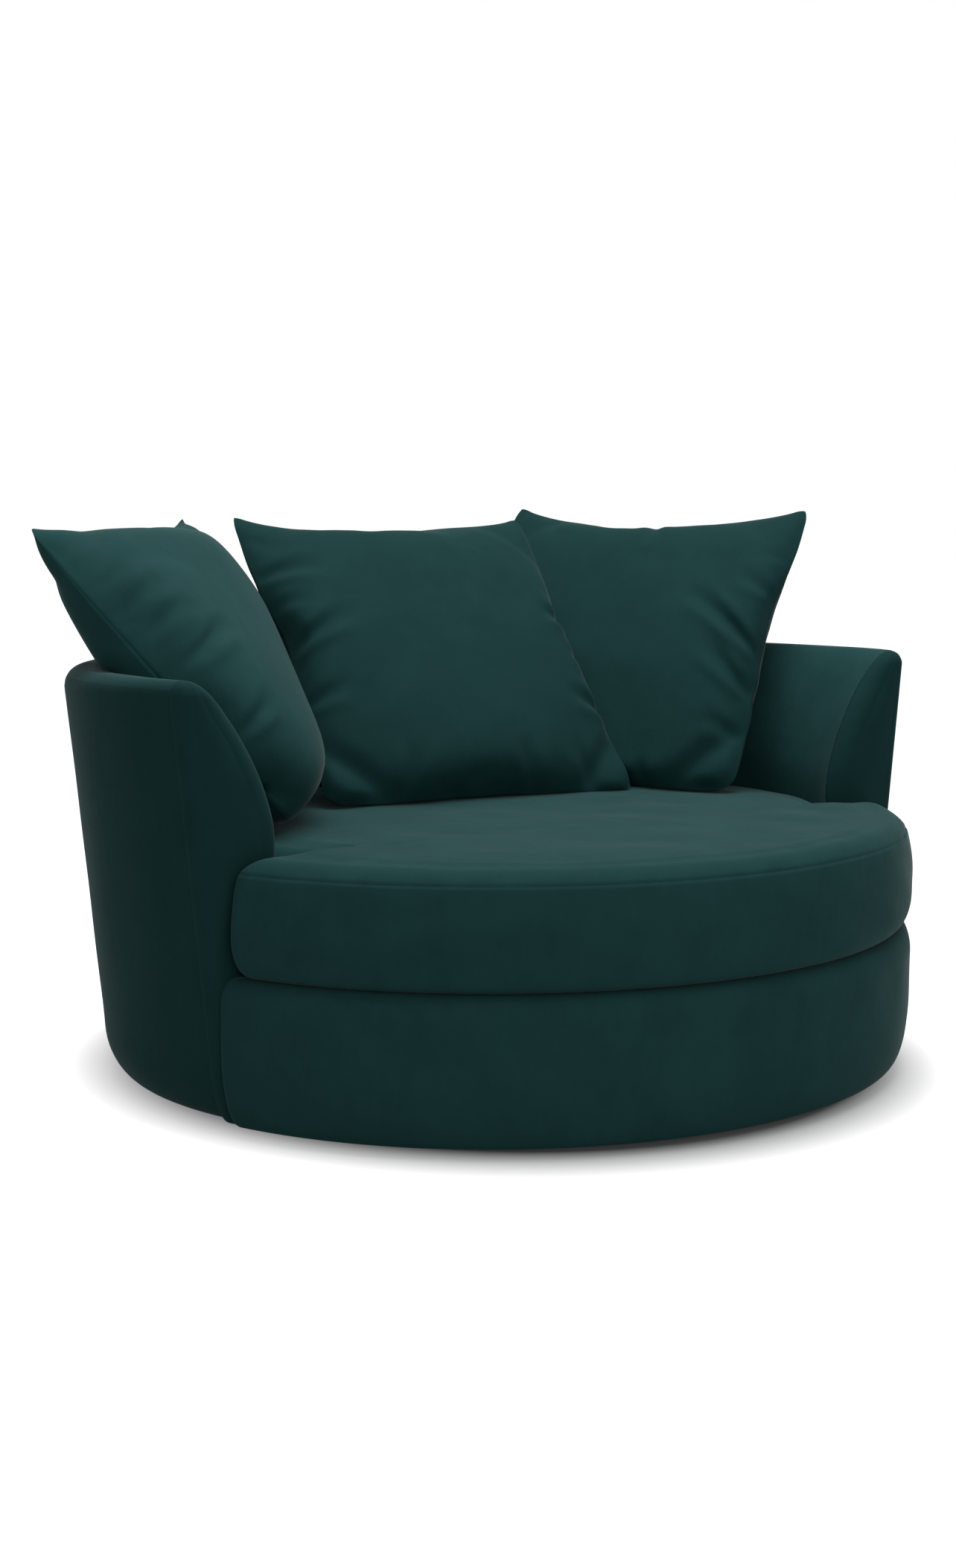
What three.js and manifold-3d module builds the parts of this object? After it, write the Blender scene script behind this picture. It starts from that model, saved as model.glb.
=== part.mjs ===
// A round cuddle chair that swivels on a hidden turntable. A flared tub wall makes the arms and
// the back in one curve, a loose seat cushion reaches in front of the arms with two ears, and
// three loose back cushions lean on the wall. Under the covers are a plywood frame with ribs, a
// bent top rail, sinuous seat springs and a ball race between the frame and the floor board.
// Millimetres, +Z up, the chair faces -Y, the origin is on the floor under the turntable.
import * as THREE from 'three';
import { mergeVertices } from 'three/addons/utils/BufferGeometryUtils.js';
import Module from 'manifold-3d';

const wasm = await Module();
wasm.setup();

// Clearances
const seatGap = 0.3; // between pieces that touch
const boardGap = 2.5; // between a straight board and a curved cover round it
const cutOverrun = 1; // how far a cutting tool reaches past the face that it cuts
const degree = Math.PI / 180;

// Wall: one ellipse in plan that grows wider towards its level top
const wallHeight = 650;
const floorHalfWidth = 660;
const wallFlare = 63;
const wallDepthShare = 0.8885;
const wallSeatThickness = 126;
const wallTopThickness = 45;
const armTopThickness = 12;
const wallSwellHeight = 250;
const swellPower = 1.7;
const armTaperShare = 0.17;
const topEdgeRadius = 10;
const wallSteps = 38;

// Covers over the frame
const coverThickness = 10;
const paddingThickness = 32;
const topPaddingThickness = 28;
const seamDrop = 14;
const hemHeight = 12;
const hemReach = 60;
const hemCornerRadius = 8;
const wallFootReach = 42;
const wallFootHeight = 70;

// Front base panel, an ellipse a little proud of the wall
const frontProud = 10.5;
const frontDepthShare = 0.9535;
const frontPanelThickness = 34;
const frontFootReach = 28;
const frontFootHeight = 112;
const frontTopReach = 22;
const frontTopDrop = 40;
const frontHemReach = 75;
const frontSteps = 20;

// Arm fronts
const armFrontPlane = 212;
const armPadThickness = 24.7;
const armPadEdgeRadius = 8;
const armStripWidth = 25;
const armBoardThickness = 15;

// Floor base and turntable
const glideHeight = 5;
const glideRadius = 15;
const glideRimRadius = 12;
const glideCircleRadius = 285;
const glideCount = 6;
const floorBoardThickness = 18;
const floorBoardRadius = 310;
const floorBoardBore = 60;
const raceHeight = 14.1;
const racePlate = 2.5;
const raceCircleRadius = 160;
const raceFlangeWidth = 38;
const raceFlangeReach = 14;
const ballRadius = 4;
const ballRunningGap = 0.9;
const grooveSteps = 4;
const raceLipWidth = 3;
const raceLipHeight = 3.4;
const cageWidth = 10;
const cageThickness = 1;
const ballCount = 9;
const raceSteps = 48;
const screwRadius = 2.2;
const screwHeadRadius = 5;
const screwHeadHeight = 2.4;
const screwLength = 14;
const screwHoleGap = 0.4;
const screwCount = 4;
const screwInset = 11;

// Timber frame
const boardThickness = 18;
const swivelBoardMargin = 17;
const frameRingWidth = 130;
const crossRailHeight = 70;
const crossRailThickness = 30;
const crossRailEndGap = 14;
const seatFrameTop = 213;
const seatFrameWidth = 62;
const frontRailThickness = 15;
const ribThickness = 18;
const ribSpacingAngle = 25;
const ribCount = 9;
const topRailHeight = 20;
const topRailThickness = 22;
const topRailDrop = 46;

// Seat springs and deck
const wireRadius = 2;
const springSwing = 24;
const springPeriod = 92;
const springPitchShare = 0.3236;
const springCount = 5;
const springWaveSteps = 5;
const springBearing = 14;
const deckThickness = 12.4;
const dustCoverThickness = 2;
const dustCoverMargin = 8;

// Seat cushion
const seatOverhang = 1.5;
const seatSeamHeight = 381;
const seatCrown = 31;
const seatEarGap = 10;
const seatWallGap = 5;
const seatCornerRadius = 26;
const seatPivot = -60;
const seatCrownReach = 38;
const zipWidth = 6;
const zipThickness = 2;
const zipHalfAngle = 32;
const zipSteps = 24;

// Back cushions, square before they are filled. Three of them fit round the wall.
const backCushionSizeShare = 0.8788;
const backCushionPullShare = 0.055;
const backCushionPower = 0.45;
const backCushionCells = 16;

// Sizes that follow from the ones above, heights first, from the floor up
const floorBoardBottom = glideHeight + seatGap;
const floorBoardTop = floorBoardBottom + floorBoardThickness;
const raceBottom = floorBoardTop + seatGap;
const raceTop = raceBottom + raceHeight;
const frameBottom = raceTop + seatGap;
const frameTop = frameBottom + boardThickness;
const seatFrameBottom = seatFrameTop - boardThickness;
const upholsteryFoot = seatFrameTop + seatGap;
const springHeight = seatFrameTop + seatGap + wireRadius;
const deckBottom = springHeight + wireRadius + seatGap;
const deckTop = deckBottom + deckThickness;
const raceInnerRadius = raceCircleRadius - raceFlangeWidth;
const raceOuterRadius = raceCircleRadius + raceFlangeWidth;
const lowerScrewCircle = raceInnerRadius + screwInset;
const upperScrewCircle = raceOuterRadius - screwInset;
const swivelBoardRadius = raceOuterRadius + swivelBoardMargin;
const dustCoverHole = raceOuterRadius + dustCoverMargin;
const seamHeight = wallHeight - seamDrop;
const topRailTop = seamHeight - topRailDrop;
const frontHalfWidth = floorHalfWidth + frontProud;
const frontHalfDepth = frontHalfWidth * frontDepthShare;
const seatHalfWidth = frontHalfWidth + seatOverhang;
const seatFrontDepth = frontHalfDepth + seatOverhang;
const backCushionSize = floorHalfWidth * backCushionSizeShare;
const armBackPlane = armFrontPlane - armPadThickness;
const wallEndPlane = armBackPlane - seatGap;
const armBoardPlane = wallEndPlane - cutOverrun;
const railEndPlane = armBoardPlane - armBoardThickness - seatGap;
const frontEndPlane = armFrontPlane + seatGap;
const ribInset = wallSeatThickness - paddingThickness - boardGap;

const colours = { velvet: '#1e3c3d', lining: '#1c2224', ply: '#c19a6b', beech: '#b98a5a' };

const fabric = (colour) => new THREE.MeshStandardMaterial({ color: colour, roughness: 0.9, metalness: 0 });
const timber = (colour) => new THREE.MeshStandardMaterial({ color: colour, roughness: 0.7, metalness: 0 });
const steel = () => new THREE.MeshStandardMaterial({ color: '#9a9da0', roughness: 0.35, metalness: 1 });
const nylon = () => new THREE.MeshStandardMaterial({ color: '#2a2a2a', roughness: 0.5, metalness: 0 });

const chair = new THREE.Group();

function addPiece(parent, name, geometry, material) {
  const mesh = new THREE.Mesh(geometry, material);
  mesh.name = name;
  parent.add(mesh);
  return mesh;
}

// Geometry helpers

// Makes one closed body of points and triangles, turned so that its faces point out
function closedBody(points, faces) {
  let volume = 0;
  for (const [a, b, c] of faces) {
    volume += points[a].dot(new THREE.Vector3().crossVectors(points[b], points[c]));
  }
  const index = faces.flatMap(([a, b, c]) => (volume > 0 ? [a, b, c] : [a, c, b]));
  const geometry = new THREE.BufferGeometry();
  geometry.setAttribute('position', new THREE.Float32BufferAttribute(points.flatMap((p) => [p.x, p.y, p.z]), 3));
  geometry.setIndex(index);
  geometry.computeVertexNormals();
  return geometry;
}

// Fills a flat ring of points, in the ring's own order or reversed
function capFaces(ring, first, reversed) {
  const box = new THREE.Box3().setFromPoints(ring);
  const size = box.getSize(new THREE.Vector3());
  const thin = size.x <= Math.min(size.y, size.z) ? 'x' : size.y <= size.z ? 'y' : 'z';
  const [u, v] = ['x', 'y', 'z'].filter((axis) => axis !== thin);
  const flat = ring.map((p) => flatPoint(p[u], p[v]));
  const clockwise = THREE.ShapeUtils.isClockWise(flat);
  const order = range(ring.length);
  if (clockwise) {
    order.reverse();
  }
  const triangles = wasm.triangulate([order.map((i) => [flat[i].x, flat[i].y])]);
  const flip = clockwise !== reversed;
  return triangles.map(([a, b, c]) => (flip ? [a, c, b] : [a, b, c]).map((i) => order[i] + first));
}

// Joins rings of the same number of points into one body. A last ring of one point is a peak.
function loft(rings) {
  const count = rings[0].length;
  const points = rings.flat();
  const faces = capFaces(rings[0], 0, true);
  for (let i = 0; i < rings.length - 1; i += 1) {
    const low = i * count;
    const high = low + count;
    const peak = rings[i + 1].length === 1;
    for (let j = 0; j < count; j += 1) {
      const next = (j + 1) % count;
      if (peak) {
        faces.push([low + j, low + next, high]);
      } else {
        faces.push([low + j, low + next, high + next], [low + j, high + next, high + j]);
      }
    }
  }
  if (rings.at(-1).length > 1) {
    faces.push(...capFaces(rings.at(-1), points.length - count, false));
  }
  return closedBody(points, faces);
}

function toSolid(geometry) {
  const bare = geometry.clone();
  bare.deleteAttribute('normal');
  bare.deleteAttribute('uv');
  const merged = mergeVertices(bare);
  return new wasm.Manifold(new wasm.Mesh({
    numProp: 3,
    vertProperties: new Float32Array(merged.attributes.position.array),
    triVerts: new Uint32Array(merged.index.array),
  }));
}

function fromSolid(solid) {
  const mesh = solid.getMesh();
  const geometry = new THREE.BufferGeometry();
  geometry.setAttribute('position', new THREE.BufferAttribute(mesh.vertProperties, 3));
  geometry.setIndex(new THREE.BufferAttribute(mesh.triVerts, 1));
  geometry.computeVertexNormals();
  return geometry;
}

const cut = (geometry, tools) => fromSolid(tools.reduce((rest, tool) => rest.subtract(toSolid(tool)), toSolid(geometry)));
const join = (geometries) => fromSolid(geometries.map(toSolid).reduce((sum, solid) => sum.add(solid)));

// A flat board of a plan outline, with holes, from one height up by its thickness
function board(outline, holes, bottom, thickness) {
  const shape = new THREE.Shape(outline);
  shape.holes = holes.map((hole) => new THREE.Path(hole));
  const geometry = new THREE.ExtrudeGeometry(shape, { depth: thickness, bevelEnabled: false });
  return geometry.translate(0, 0, bottom);
}

// A board of an outline in X and Z, whose thickness runs forward from y = -plane
function uprightBoard(outline, plane, thickness) {
  const geometry = new THREE.ExtrudeGeometry(new THREE.Shape(outline), { depth: thickness, bevelEnabled: false });
  return geometry.rotateX(Math.PI / 2).translate(0, -plane, 0);
}

// Points of a round profile turned about +Z
const turned = (profile, steps) => new THREE.LatheGeometry(profile, steps).rotateX(Math.PI / 2);

const range = (count) => Array.from({ length: count }, (_, i) => i);
const spread = (count) => range(count).map((i) => i / (count - 1));
const flatPoint = (x, y) => new THREE.Vector2(x, y);

function ellipse(halfWidth, halfDepth, shift, count) {
  const angle = (i) => (i * 2 * Math.PI) / count;
  return range(count).map((i) => flatPoint(halfWidth * Math.cos(angle(i)), shift + halfDepth * Math.sin(angle(i))));
}

// Wall surface

const outerHalfWidth = (height) => floorHalfWidth + (wallFlare * height) / wallHeight;
const outerHalfDepth = (height) => outerHalfWidth(height) * wallDepthShare;

// The point a distance in from the wall's outside, at an angle from straight ahead
function wallPoint(inset, height, turn) {
  const x = (outerHalfWidth(height) - inset) * Math.sin(turn);
  const y = -(outerHalfDepth(height) - inset) * Math.cos(turn);
  return new THREE.Vector3(x, y, height);
}

// The angle at which that curve meets the plane y = -plane
const endTurn = (inset, height, plane) => Math.acos(plane / (outerHalfDepth(height) - inset));

// Sweeps a section of [inset, height] points round the wall, from one arm to the other. Both
// ends lie in the plane y = -plane.
function sweepWall(sectionAt, plane, steps) {
  const rings = spread(steps + 1).map((share) => {
    const side = 2 * share - 1;
    return sectionAt(Math.abs(side)).map(([inset, height]) => {
      const turn = Math.PI - side * (Math.PI - endTurn(inset, height, plane));
      return wallPoint(inset, height, turn);
    });
  });
  return loft(rings);
}

// How thick the wall's top is: full along the back, narrow at the arm fronts
function topThickness(side) {
  const share = Math.min(1, (1 - side) / armTaperShare);
  const ease = share * share * (3 - 2 * share);
  return armTopThickness + (wallTopThickness - armTopThickness) * ease;
}

// A quarter of a rounded curve, from the top of the wall down its swelling inner face
function swell(topInset, topHeight, fullInset, fullHeight, count) {
  return spread(count).map((share) => {
    const angle = (share * Math.PI) / 2;
    const across = Math.sin(angle) ** (2 / swellPower);
    const up = Math.cos(angle) ** (2 / swellPower);
    return [topInset + (fullInset - topInset) * across, fullHeight + (topHeight - fullHeight) * up];
  });
}

// The part of a falling curve that is below a height, cut off level at that height
function clipBelow(curve, height) {
  const first = curve.findIndex((point) => point[1] < height);
  const [above, below] = [curve[first - 1], curve[first]];
  const share = (above[1] - height) / (above[1] - below[1]);
  return [[above[0] + (below[0] - above[0]) * share, height], ...curve.slice(first)];
}

// A quarter of an ellipse between two [inset, height] points, leaving the first one upright
function quarter(from, to, count) {
  return spread(count).map((share) => {
    const angle = (share * Math.PI) / 2;
    const inset = from[0] + (to[0] - from[0]) * (1 - Math.cos(angle));
    const height = from[1] + (to[1] - from[1]) * Math.sin(angle);
    return [inset, height];
  });
}

const swellFoot = wallHeight - wallSwellHeight;
const innerFace = (side) => swell(topThickness(side), wallHeight, wallSeatThickness, swellFoot, 11);

function hiddenFace(side, spare) {
  const top = Math.max(topThickness(side) - topEdgeRadius, coverThickness + boardGap * 2);
  const full = wallSeatThickness - paddingThickness;
  return swell(top - spare, wallHeight - topPaddingThickness, full - spare, swellFoot, 7);
}

// Covers

// The outside cover runs from a hem under the frame up to the seam at the wall's outer edge
function outsideCover() {
  const foot = quarter([0, hemHeight + wallFootHeight], [wallFootReach, hemHeight], 5);
  const hemTop = frameBottom - seatGap;
  const section = [
    [0, seamHeight],
    ...foot,
    [hemReach - hemCornerRadius, hemHeight],
    [hemReach, hemHeight + hemCornerRadius],
    [hemReach, hemTop],
    [coverThickness, hemTop],
    [coverThickness, seamHeight],
  ];
  return sweepWall(() => section, wallEndPlane, wallSteps);
}

// The inside cover goes over the top of the wall and down its padded inner face
function insideCover() {
  const seam = seamHeight + seatGap;
  const lip = coverThickness + seatGap;
  const topFace = wallHeight - topPaddingThickness;
  const sectionAt = (side) => [
    [0, seam],
    ...quarter([0, wallHeight - topEdgeRadius], [topEdgeRadius, wallHeight], 3),
    ...innerFace(side),
    [wallSeatThickness, upholsteryFoot],
    [wallSeatThickness - paddingThickness, upholsteryFoot],
    ...hiddenFace(side, 0).reverse(),
    [lip, topFace],
    [lip, seam],
  ];
  return sweepWall(sectionAt, wallEndPlane, wallSteps);
}

function frontPoint(inset, height, turn) {
  const x = (frontHalfWidth - inset) * Math.sin(turn);
  const y = -(frontHalfDepth - inset) * Math.cos(turn);
  return new THREE.Vector3(x, y, height);
}

const frontTurn = (inset, plane) => Math.acos(plane / (frontHalfDepth - inset));

function sweepFront(section, plane, steps) {
  const rings = spread(steps + 1).map((share) => section.map(([inset, height]) => {
    const turn = (2 * share - 1) * frontTurn(inset, plane);
    return frontPoint(inset, height, turn);
  }));
  return loft(rings);
}

// The padded panel round the front of the base, with its hem turned under the frame
function frontBasePanel() {
  const hemTop = frameBottom - seatGap;
  const section = [
    ...quarter([0, deckTop - frontTopDrop], [frontTopReach, deckTop], 4),
    [frontPanelThickness, deckTop],
    [frontPanelThickness, hemTop],
    [frontHemReach, hemTop],
    [frontHemReach, hemHeight + hemCornerRadius],
    [frontHemReach - hemCornerRadius, hemHeight],
    ...quarter([0, hemHeight + frontFootHeight], [frontFootReach, hemHeight], 6).reverse(),
  ];
  return sweepFront(section, frontEndPlane, frontSteps);
}

// Arm fronts

// X of the wall's section where it meets the plane of the arm's back
const endX = (inset, height, plane) => wallPoint(inset, height, endTurn(inset, height, plane)).x;

// The arm front follows the wall's section above the seat frame, and goes on to the floor as a
// strip beside the base panel
function armOutline() {
  const foot = quarter([0, hemHeight + wallFootHeight], [wallFootReach / 2, hemHeight], 4);
  const outer = [...foot.reverse(), [0, seamHeight]];
  const top = quarter([0, wallHeight - topEdgeRadius], [topEdgeRadius, wallHeight], 3);
  const section = [
    ...outer,
    ...top,
    ...innerFace(1),
    [wallSeatThickness, upholsteryFoot],
    [armStripWidth, upholsteryFoot],
    [armStripWidth, hemHeight + wallFootReach],
    [armStripWidth, hemHeight],
  ];
  return section.map(([inset, height]) => flatPoint(endX(inset, height, armBackPlane), height));
}

// Moves each point of an outline inwards, square to its two sides
function shrink(outline, distance) {
  const turnSign = Math.sign(THREE.ShapeUtils.area(outline));
  return outline.map((point, i) => {
    const before = outline[(i + outline.length - 1) % outline.length];
    const after = outline[(i + 1) % outline.length];
    const into = point.clone().sub(before).normalize();
    const out = after.clone().sub(point).normalize();
    const normal = flatPoint(-into.y - out.y, into.x + out.x).normalize();
    const spare = Math.max(0.5, -into.y * normal.x + into.x * normal.y);
    return point.clone().addScaledVector(normal, (turnSign * distance) / spare);
  });
}

function armFront(side) {
  const outline = armOutline();
  const layer = (inset, plane) => shrink(outline, inset).map((p) => new THREE.Vector3(side * p.x, -plane, p.y));
  return loft([
    layer(0, armBackPlane),
    layer(0, armFrontPlane - armPadEdgeRadius),
    layer(armPadEdgeRadius * (1 - Math.SQRT1_2), armFrontPlane - armPadEdgeRadius * (1 - Math.SQRT1_2)),
    layer(armPadEdgeRadius, armFrontPlane),
  ]);
}

// The plywood board that closes the hollow end of the wall behind the arm front. It stands on
// the lower ring.
function armBoard(side) {
  const outerInset = coverThickness + boardGap;
  const outerPoint = (height) => flatPoint(side * endX(outerInset, height, armBoardPlane), height);
  const innerPlane = armBoardPlane - armBoardThickness;
  const inner = clipBelow(hiddenFace(1, boardGap), topRailTop);
  const innerPoints = inner.map(([inset, height]) => flatPoint(side * endX(inset, height, innerPlane), height));
  const foot = frameTop + seatGap;
  const outline = [
    outerPoint(foot),
    outerPoint(inner[0][1]),
    ...innerPoints,
    flatPoint(side * endX(ribInset, foot, innerPlane), foot),
  ];
  return uprightBoard(outline, innerPlane, armBoardThickness);
}

// Timber frame

const wallArc = (inset, height, plane, count) => {
  const end = endTurn(inset, height, plane);
  return spread(count).map((share) => {
    const point = wallPoint(inset, height, end + (2 * Math.PI - 2 * end) * share);
    return flatPoint(point.x, point.y);
  });
};

const frontArc = (inset, plane, count) => {
  const end = frontTurn(inset, plane);
  return spread(count).map((share) => {
    const point = frontPoint(inset, 0, end * (2 * share - 1));
    return flatPoint(point.x, point.y);
  });
};

// A plan outline that follows the base panel in front and the wall behind, stepped at the arms
function frameOutline(frontInset, wallInset, height) {
  const front = frontArc(frontInset, frontEndPlane, frontSteps + 1);
  const back = wallArc(wallInset, height, wallEndPlane, wallSteps + 1);
  const corner = front.at(-1).x;
  return [...front, flatPoint(corner, -wallEndPlane), ...back, flatPoint(-corner, -wallEndPlane)];
}

// The lower ring sits on the hems. Its edge is inside the covers at its own underside, where
// the flared wall is narrowest.
function bottomFrame() {
  const outline = frameOutline(frontPanelThickness + seatGap, coverThickness + seatGap, frameBottom);
  return board(outline, [ringHole(frameBottom, coverThickness, frameRingWidth)], frameBottom, boardThickness);
}

function holeSize(height, wallInset, width) {
  const front = frontHalfDepth - frontPanelThickness - width;
  const back = outerHalfDepth(height) - wallInset - width;
  const halfWidth = outerHalfWidth(height) - wallInset - width;
  return { halfWidth, halfDepth: (front + back) / 2, shift: (back - front) / 2 };
}

function ringHole(height, wallInset, width) {
  const { halfWidth, halfDepth, shift } = holeSize(height, wallInset, width);
  return ellipse(halfWidth, halfDepth, shift, 36);
}

function seatFrame() {
  const outline = frameOutline(frontPanelThickness + seatGap, ribInset + boardGap, seatFrameBottom);
  const hole = ringHole(seatFrameBottom, ribInset, seatFrameWidth);
  return board(outline, [hole], seatFrameBottom, boardThickness);
}

// The bent rail that backs the front base panel and carries the seat frame
function frontRail() {
  const outer = frontPanelThickness + seatGap;
  const inner = outer + frontRailThickness;
  const section = [
    [outer, frameTop + seatGap],
    [outer, seatFrameBottom - seatGap],
    [inner, seatFrameBottom - seatGap],
    [inner, frameTop + seatGap],
  ];
  return sweepFront(section, frontEndPlane, frontSteps);
}

function topRail() {
  const outer = coverThickness + boardGap;
  const inner = outer + topRailThickness;
  const bottom = topRailTop - topRailHeight;
  const section = [[outer, topRailTop], [outer, bottom], [inner, bottom], [inner, topRailTop]];
  return sweepWall(() => section, railEndPlane, wallSteps);
}

// A rib stands on the lower ring, hugs the seat frame and carries the top rail. Its outer edge
// leans with the wall and its inner edge follows the padding.
function rib(turn) {
  const reach = ([inset, height]) => {
    const halfWidth = outerHalfWidth(height) - inset;
    const halfDepth = outerHalfDepth(height) - inset;
    const radius = (halfWidth * halfDepth) / Math.hypot(halfDepth * Math.sin(turn), halfWidth * Math.cos(turn));
    return flatPoint(radius, height);
  };
  const top = topRailTop - topRailHeight - seatGap;
  const foot = frameTop + seatGap;
  const outer = coverThickness + boardGap;
  const fold = Math.abs(Math.PI - turn) + ribThickness / outerHalfDepth(top);
  const across = outerHalfWidth(top) - ribInset;
  const along = outerHalfDepth(top) - ribInset;
  const edgeTurn = Math.atan2(along * Math.sin(fold), across * Math.cos(fold));
  const side = Math.min(1, edgeTurn / (Math.PI - endTurn(ribInset, top, wallEndPlane)));
  const inner = clipBelow(hiddenFace(side, boardGap), top);
  const outline = [
    [outer, foot],
    [outer, top],
    ...inner,
    [ribInset, foot],
  ];
  const shape = new THREE.Shape(outline.map(reach));
  const geometry = new THREE.ExtrudeGeometry(shape, { depth: ribThickness, bevelEnabled: false });
  return geometry.rotateX(Math.PI / 2).translate(0, ribThickness / 2, 0);
}

// Two rails cross under the seat, halved together at the centre
function crossRail(from, to, notchAtTop) {
  const half = crossRailThickness / 2 + seatGap;
  const middle = crossRailHeight / 2;
  const top = crossRailHeight;
  const notch = notchAtTop ? middle - seatGap / 2 : middle + seatGap / 2;
  const outline = notchAtTop
    ? [[from, 0], [to, 0], [to, top], [half, top], [half, notch], [-half, notch], [-half, top], [from, top]]
    : [[from, 0], [-half, 0], [-half, notch], [half, notch], [half, 0], [to, 0], [to, top], [from, top]];
  const shape = new THREE.Shape(outline.map(([x, y]) => flatPoint(x, y)));
  const geometry = new THREE.ExtrudeGeometry(shape, { depth: crossRailThickness, bevelEnabled: false });
  return geometry.rotateX(Math.PI / 2).translate(0, crossRailThickness / 2, 0);
}

// Floor base and turntable

const ringPlaces = (count, radius, startAngle) => range(count).map((i) => {
  const angle = startAngle + (i * 2 * Math.PI) / count;
  return flatPoint(radius * Math.cos(angle), radius * Math.sin(angle));
});

function glide() {
  const profile = [[0, 0], [glideRimRadius, 0], [glideRadius, glideRadius - glideRimRadius], [glideRadius, glideHeight],
    [0, glideHeight]];
  return turned(profile.map(([x, y]) => flatPoint(x, y)), 12);
}

function screw() {
  const profile = [[0, 0], [screwHeadRadius, 0], [screwHeadRadius * 0.8, screwHeadHeight], [screwRadius, screwHeadHeight],
    [screwRadius, screwHeadHeight + screwLength], [0, screwHeadHeight + screwLength]];
  return turned(profile.map(([x, y]) => flatPoint(x, y)), 8);
}

function drills(places, bottom, top) {
  return places.map((place) => {
    const radius = screwRadius + screwHoleGap;
    const drill = new THREE.CylinderGeometry(radius, radius, top - bottom, 8);
    return drill.rotateX(Math.PI / 2).translate(place.x, place.y, (bottom + top) / 2);
  });
}

const lowerScrewPlaces = ringPlaces(screwCount, lowerScrewCircle, 45 * degree);
const upperScrewPlaces = ringPlaces(screwCount, upperScrewCircle, 45 * degree);
const screwHoleBottom = raceBottom + racePlate - screwLength - screwHoleGap;
const screwHoleTop = raceTop - racePlate + screwLength + screwHoleGap;

function floorBoard() {
  const outline = ellipse(floorBoardRadius, floorBoardRadius, 0, 40);
  const bore = ellipse(floorBoardBore, floorBoardBore, 0, 24);
  const plain = board(outline, [bore], floorBoardBottom, floorBoardThickness);
  return cut(plain, drills(lowerScrewPlaces, screwHoleBottom, floorBoardTop + cutOverrun));
}

function swivelBoard() {
  const outline = ellipse(swivelBoardRadius, swivelBoardRadius, 0, 36);
  const plain = board(outline, [], frameBottom, boardThickness);
  return cut(plain, drills(upperScrewPlaces, frameBottom - cutOverrun, screwHoleTop));
}

// A pressed race: a flat flange with a raised lip on each side of the ball groove. The lower
// race's flange runs inwards and the upper one's outwards, so a screwdriver reaches both.
function raceProfile(inner, outer) {
  const groove = ballRadius + ballRunningGap;
  const middle = raceHeight / 2;
  const lipTop = racePlate + raceLipHeight;
  const mouthAngle = Math.acos((middle - lipTop) / groove);
  const bowl = spread(grooveSteps + 1).map((share) => {
    const angle = mouthAngle * (1 - 2 * share);
    return [raceCircleRadius + groove * Math.sin(angle), middle - groove * Math.cos(angle)];
  });
  const lip = groove * Math.sin(mouthAngle) + raceLipWidth;
  return [
    [inner, 0],
    [outer, 0],
    [outer, racePlate],
    [raceCircleRadius + lip, racePlate],
    [raceCircleRadius + lip, lipTop],
    ...bowl,
    [raceCircleRadius - lip, lipTop],
    [raceCircleRadius - lip, racePlate],
    [inner, racePlate],
    [inner, 0],
  ].map(([x, y]) => flatPoint(x, y));
}

function lowerRace() {
  const profile = raceProfile(raceInnerRadius, raceCircleRadius + raceFlangeReach);
  const ring = turned(profile, raceSteps).translate(0, 0, raceBottom);
  return cut(ring, drills(lowerScrewPlaces, raceBottom - cutOverrun, raceBottom + racePlate + cutOverrun));
}

function upperRace() {
  const profile = raceProfile(raceCircleRadius - raceFlangeReach, raceOuterRadius);
  const ring = turned(profile, raceSteps).rotateX(Math.PI).translate(0, 0, raceTop);
  return cut(ring, drills(upperScrewPlaces, raceTop - racePlate - cutOverrun, raceTop + cutOverrun));
}

function ballCage() {
  const inner = raceCircleRadius - cageWidth / 2;
  const outer = raceCircleRadius + cageWidth / 2;
  const low = -cageThickness / 2;
  const profile = [[inner, low], [outer, low], [outer, -low], [inner, -low], [inner, low]];
  const ring = turned(profile.map(([x, y]) => flatPoint(x, y)), raceSteps);
  const balls = ringPlaces(ballCount, raceCircleRadius, 0).map((place) => {
    const ball = new THREE.SphereGeometry(ballRadius, 8, 6);
    return ball.translate(place.x, place.y, 0);
  });
  return join([ring, ...balls]).translate(0, 0, raceBottom + raceHeight / 2);
}

// Seat springs and deck

// A sinuous spring: flat waves of wire from the front of the seat frame to the back of it
function seatSpring(x) {
  const { halfWidth, halfDepth, shift } = holeSize(seatFrameBottom, ribInset, seatFrameWidth);
  const reach = halfDepth * Math.sqrt(1 - ((Math.abs(x) + springSwing) / halfWidth) ** 2) + springBearing;
  const waves = Math.round((2 * reach) / springPeriod);
  const count = waves * springWaveSteps * 2;
  const points = spread(count + 1).map((share) => {
    const swing = springSwing * Math.sin(2 * Math.PI * waves * share);
    return new THREE.Vector3(x + swing, shift - reach + 2 * reach * share, springHeight);
  });
  const wire = new THREE.Shape(ringPlaces(4, wireRadius, 0));
  const path = new THREE.CatmullRomCurve3(points);
  return new THREE.ExtrudeGeometry(wire, { steps: waves * springWaveSteps, bevelEnabled: false, extrudePath: path });
}

function deckCover() {
  const front = frontArc(frontPanelThickness + seatGap, frontEndPlane, frontSteps + 1);
  const back = wallArc(wallSeatThickness + boardGap, deckBottom, wallEndPlane, wallSteps + 1);
  const corner = back[0].x;
  const outline = [...front, flatPoint(corner, -frontEndPlane), ...back, flatPoint(-corner, -frontEndPlane)];
  return board(outline, [], deckBottom, deckThickness);
}

function dustCover() {
  const front = frontArc(frontHemReach + seatGap, frontEndPlane, frontSteps + 1);
  const bottom = frameBottom - seatGap - dustCoverThickness;
  const back = wallArc(hemReach + seatGap, bottom, wallEndPlane, wallSteps + 1);
  const hole = ellipse(dustCoverHole, dustCoverHole, 0, 28);
  return board([...front, ...back], [hole], bottom, dustCoverThickness);
}

// Seat cushion

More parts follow.
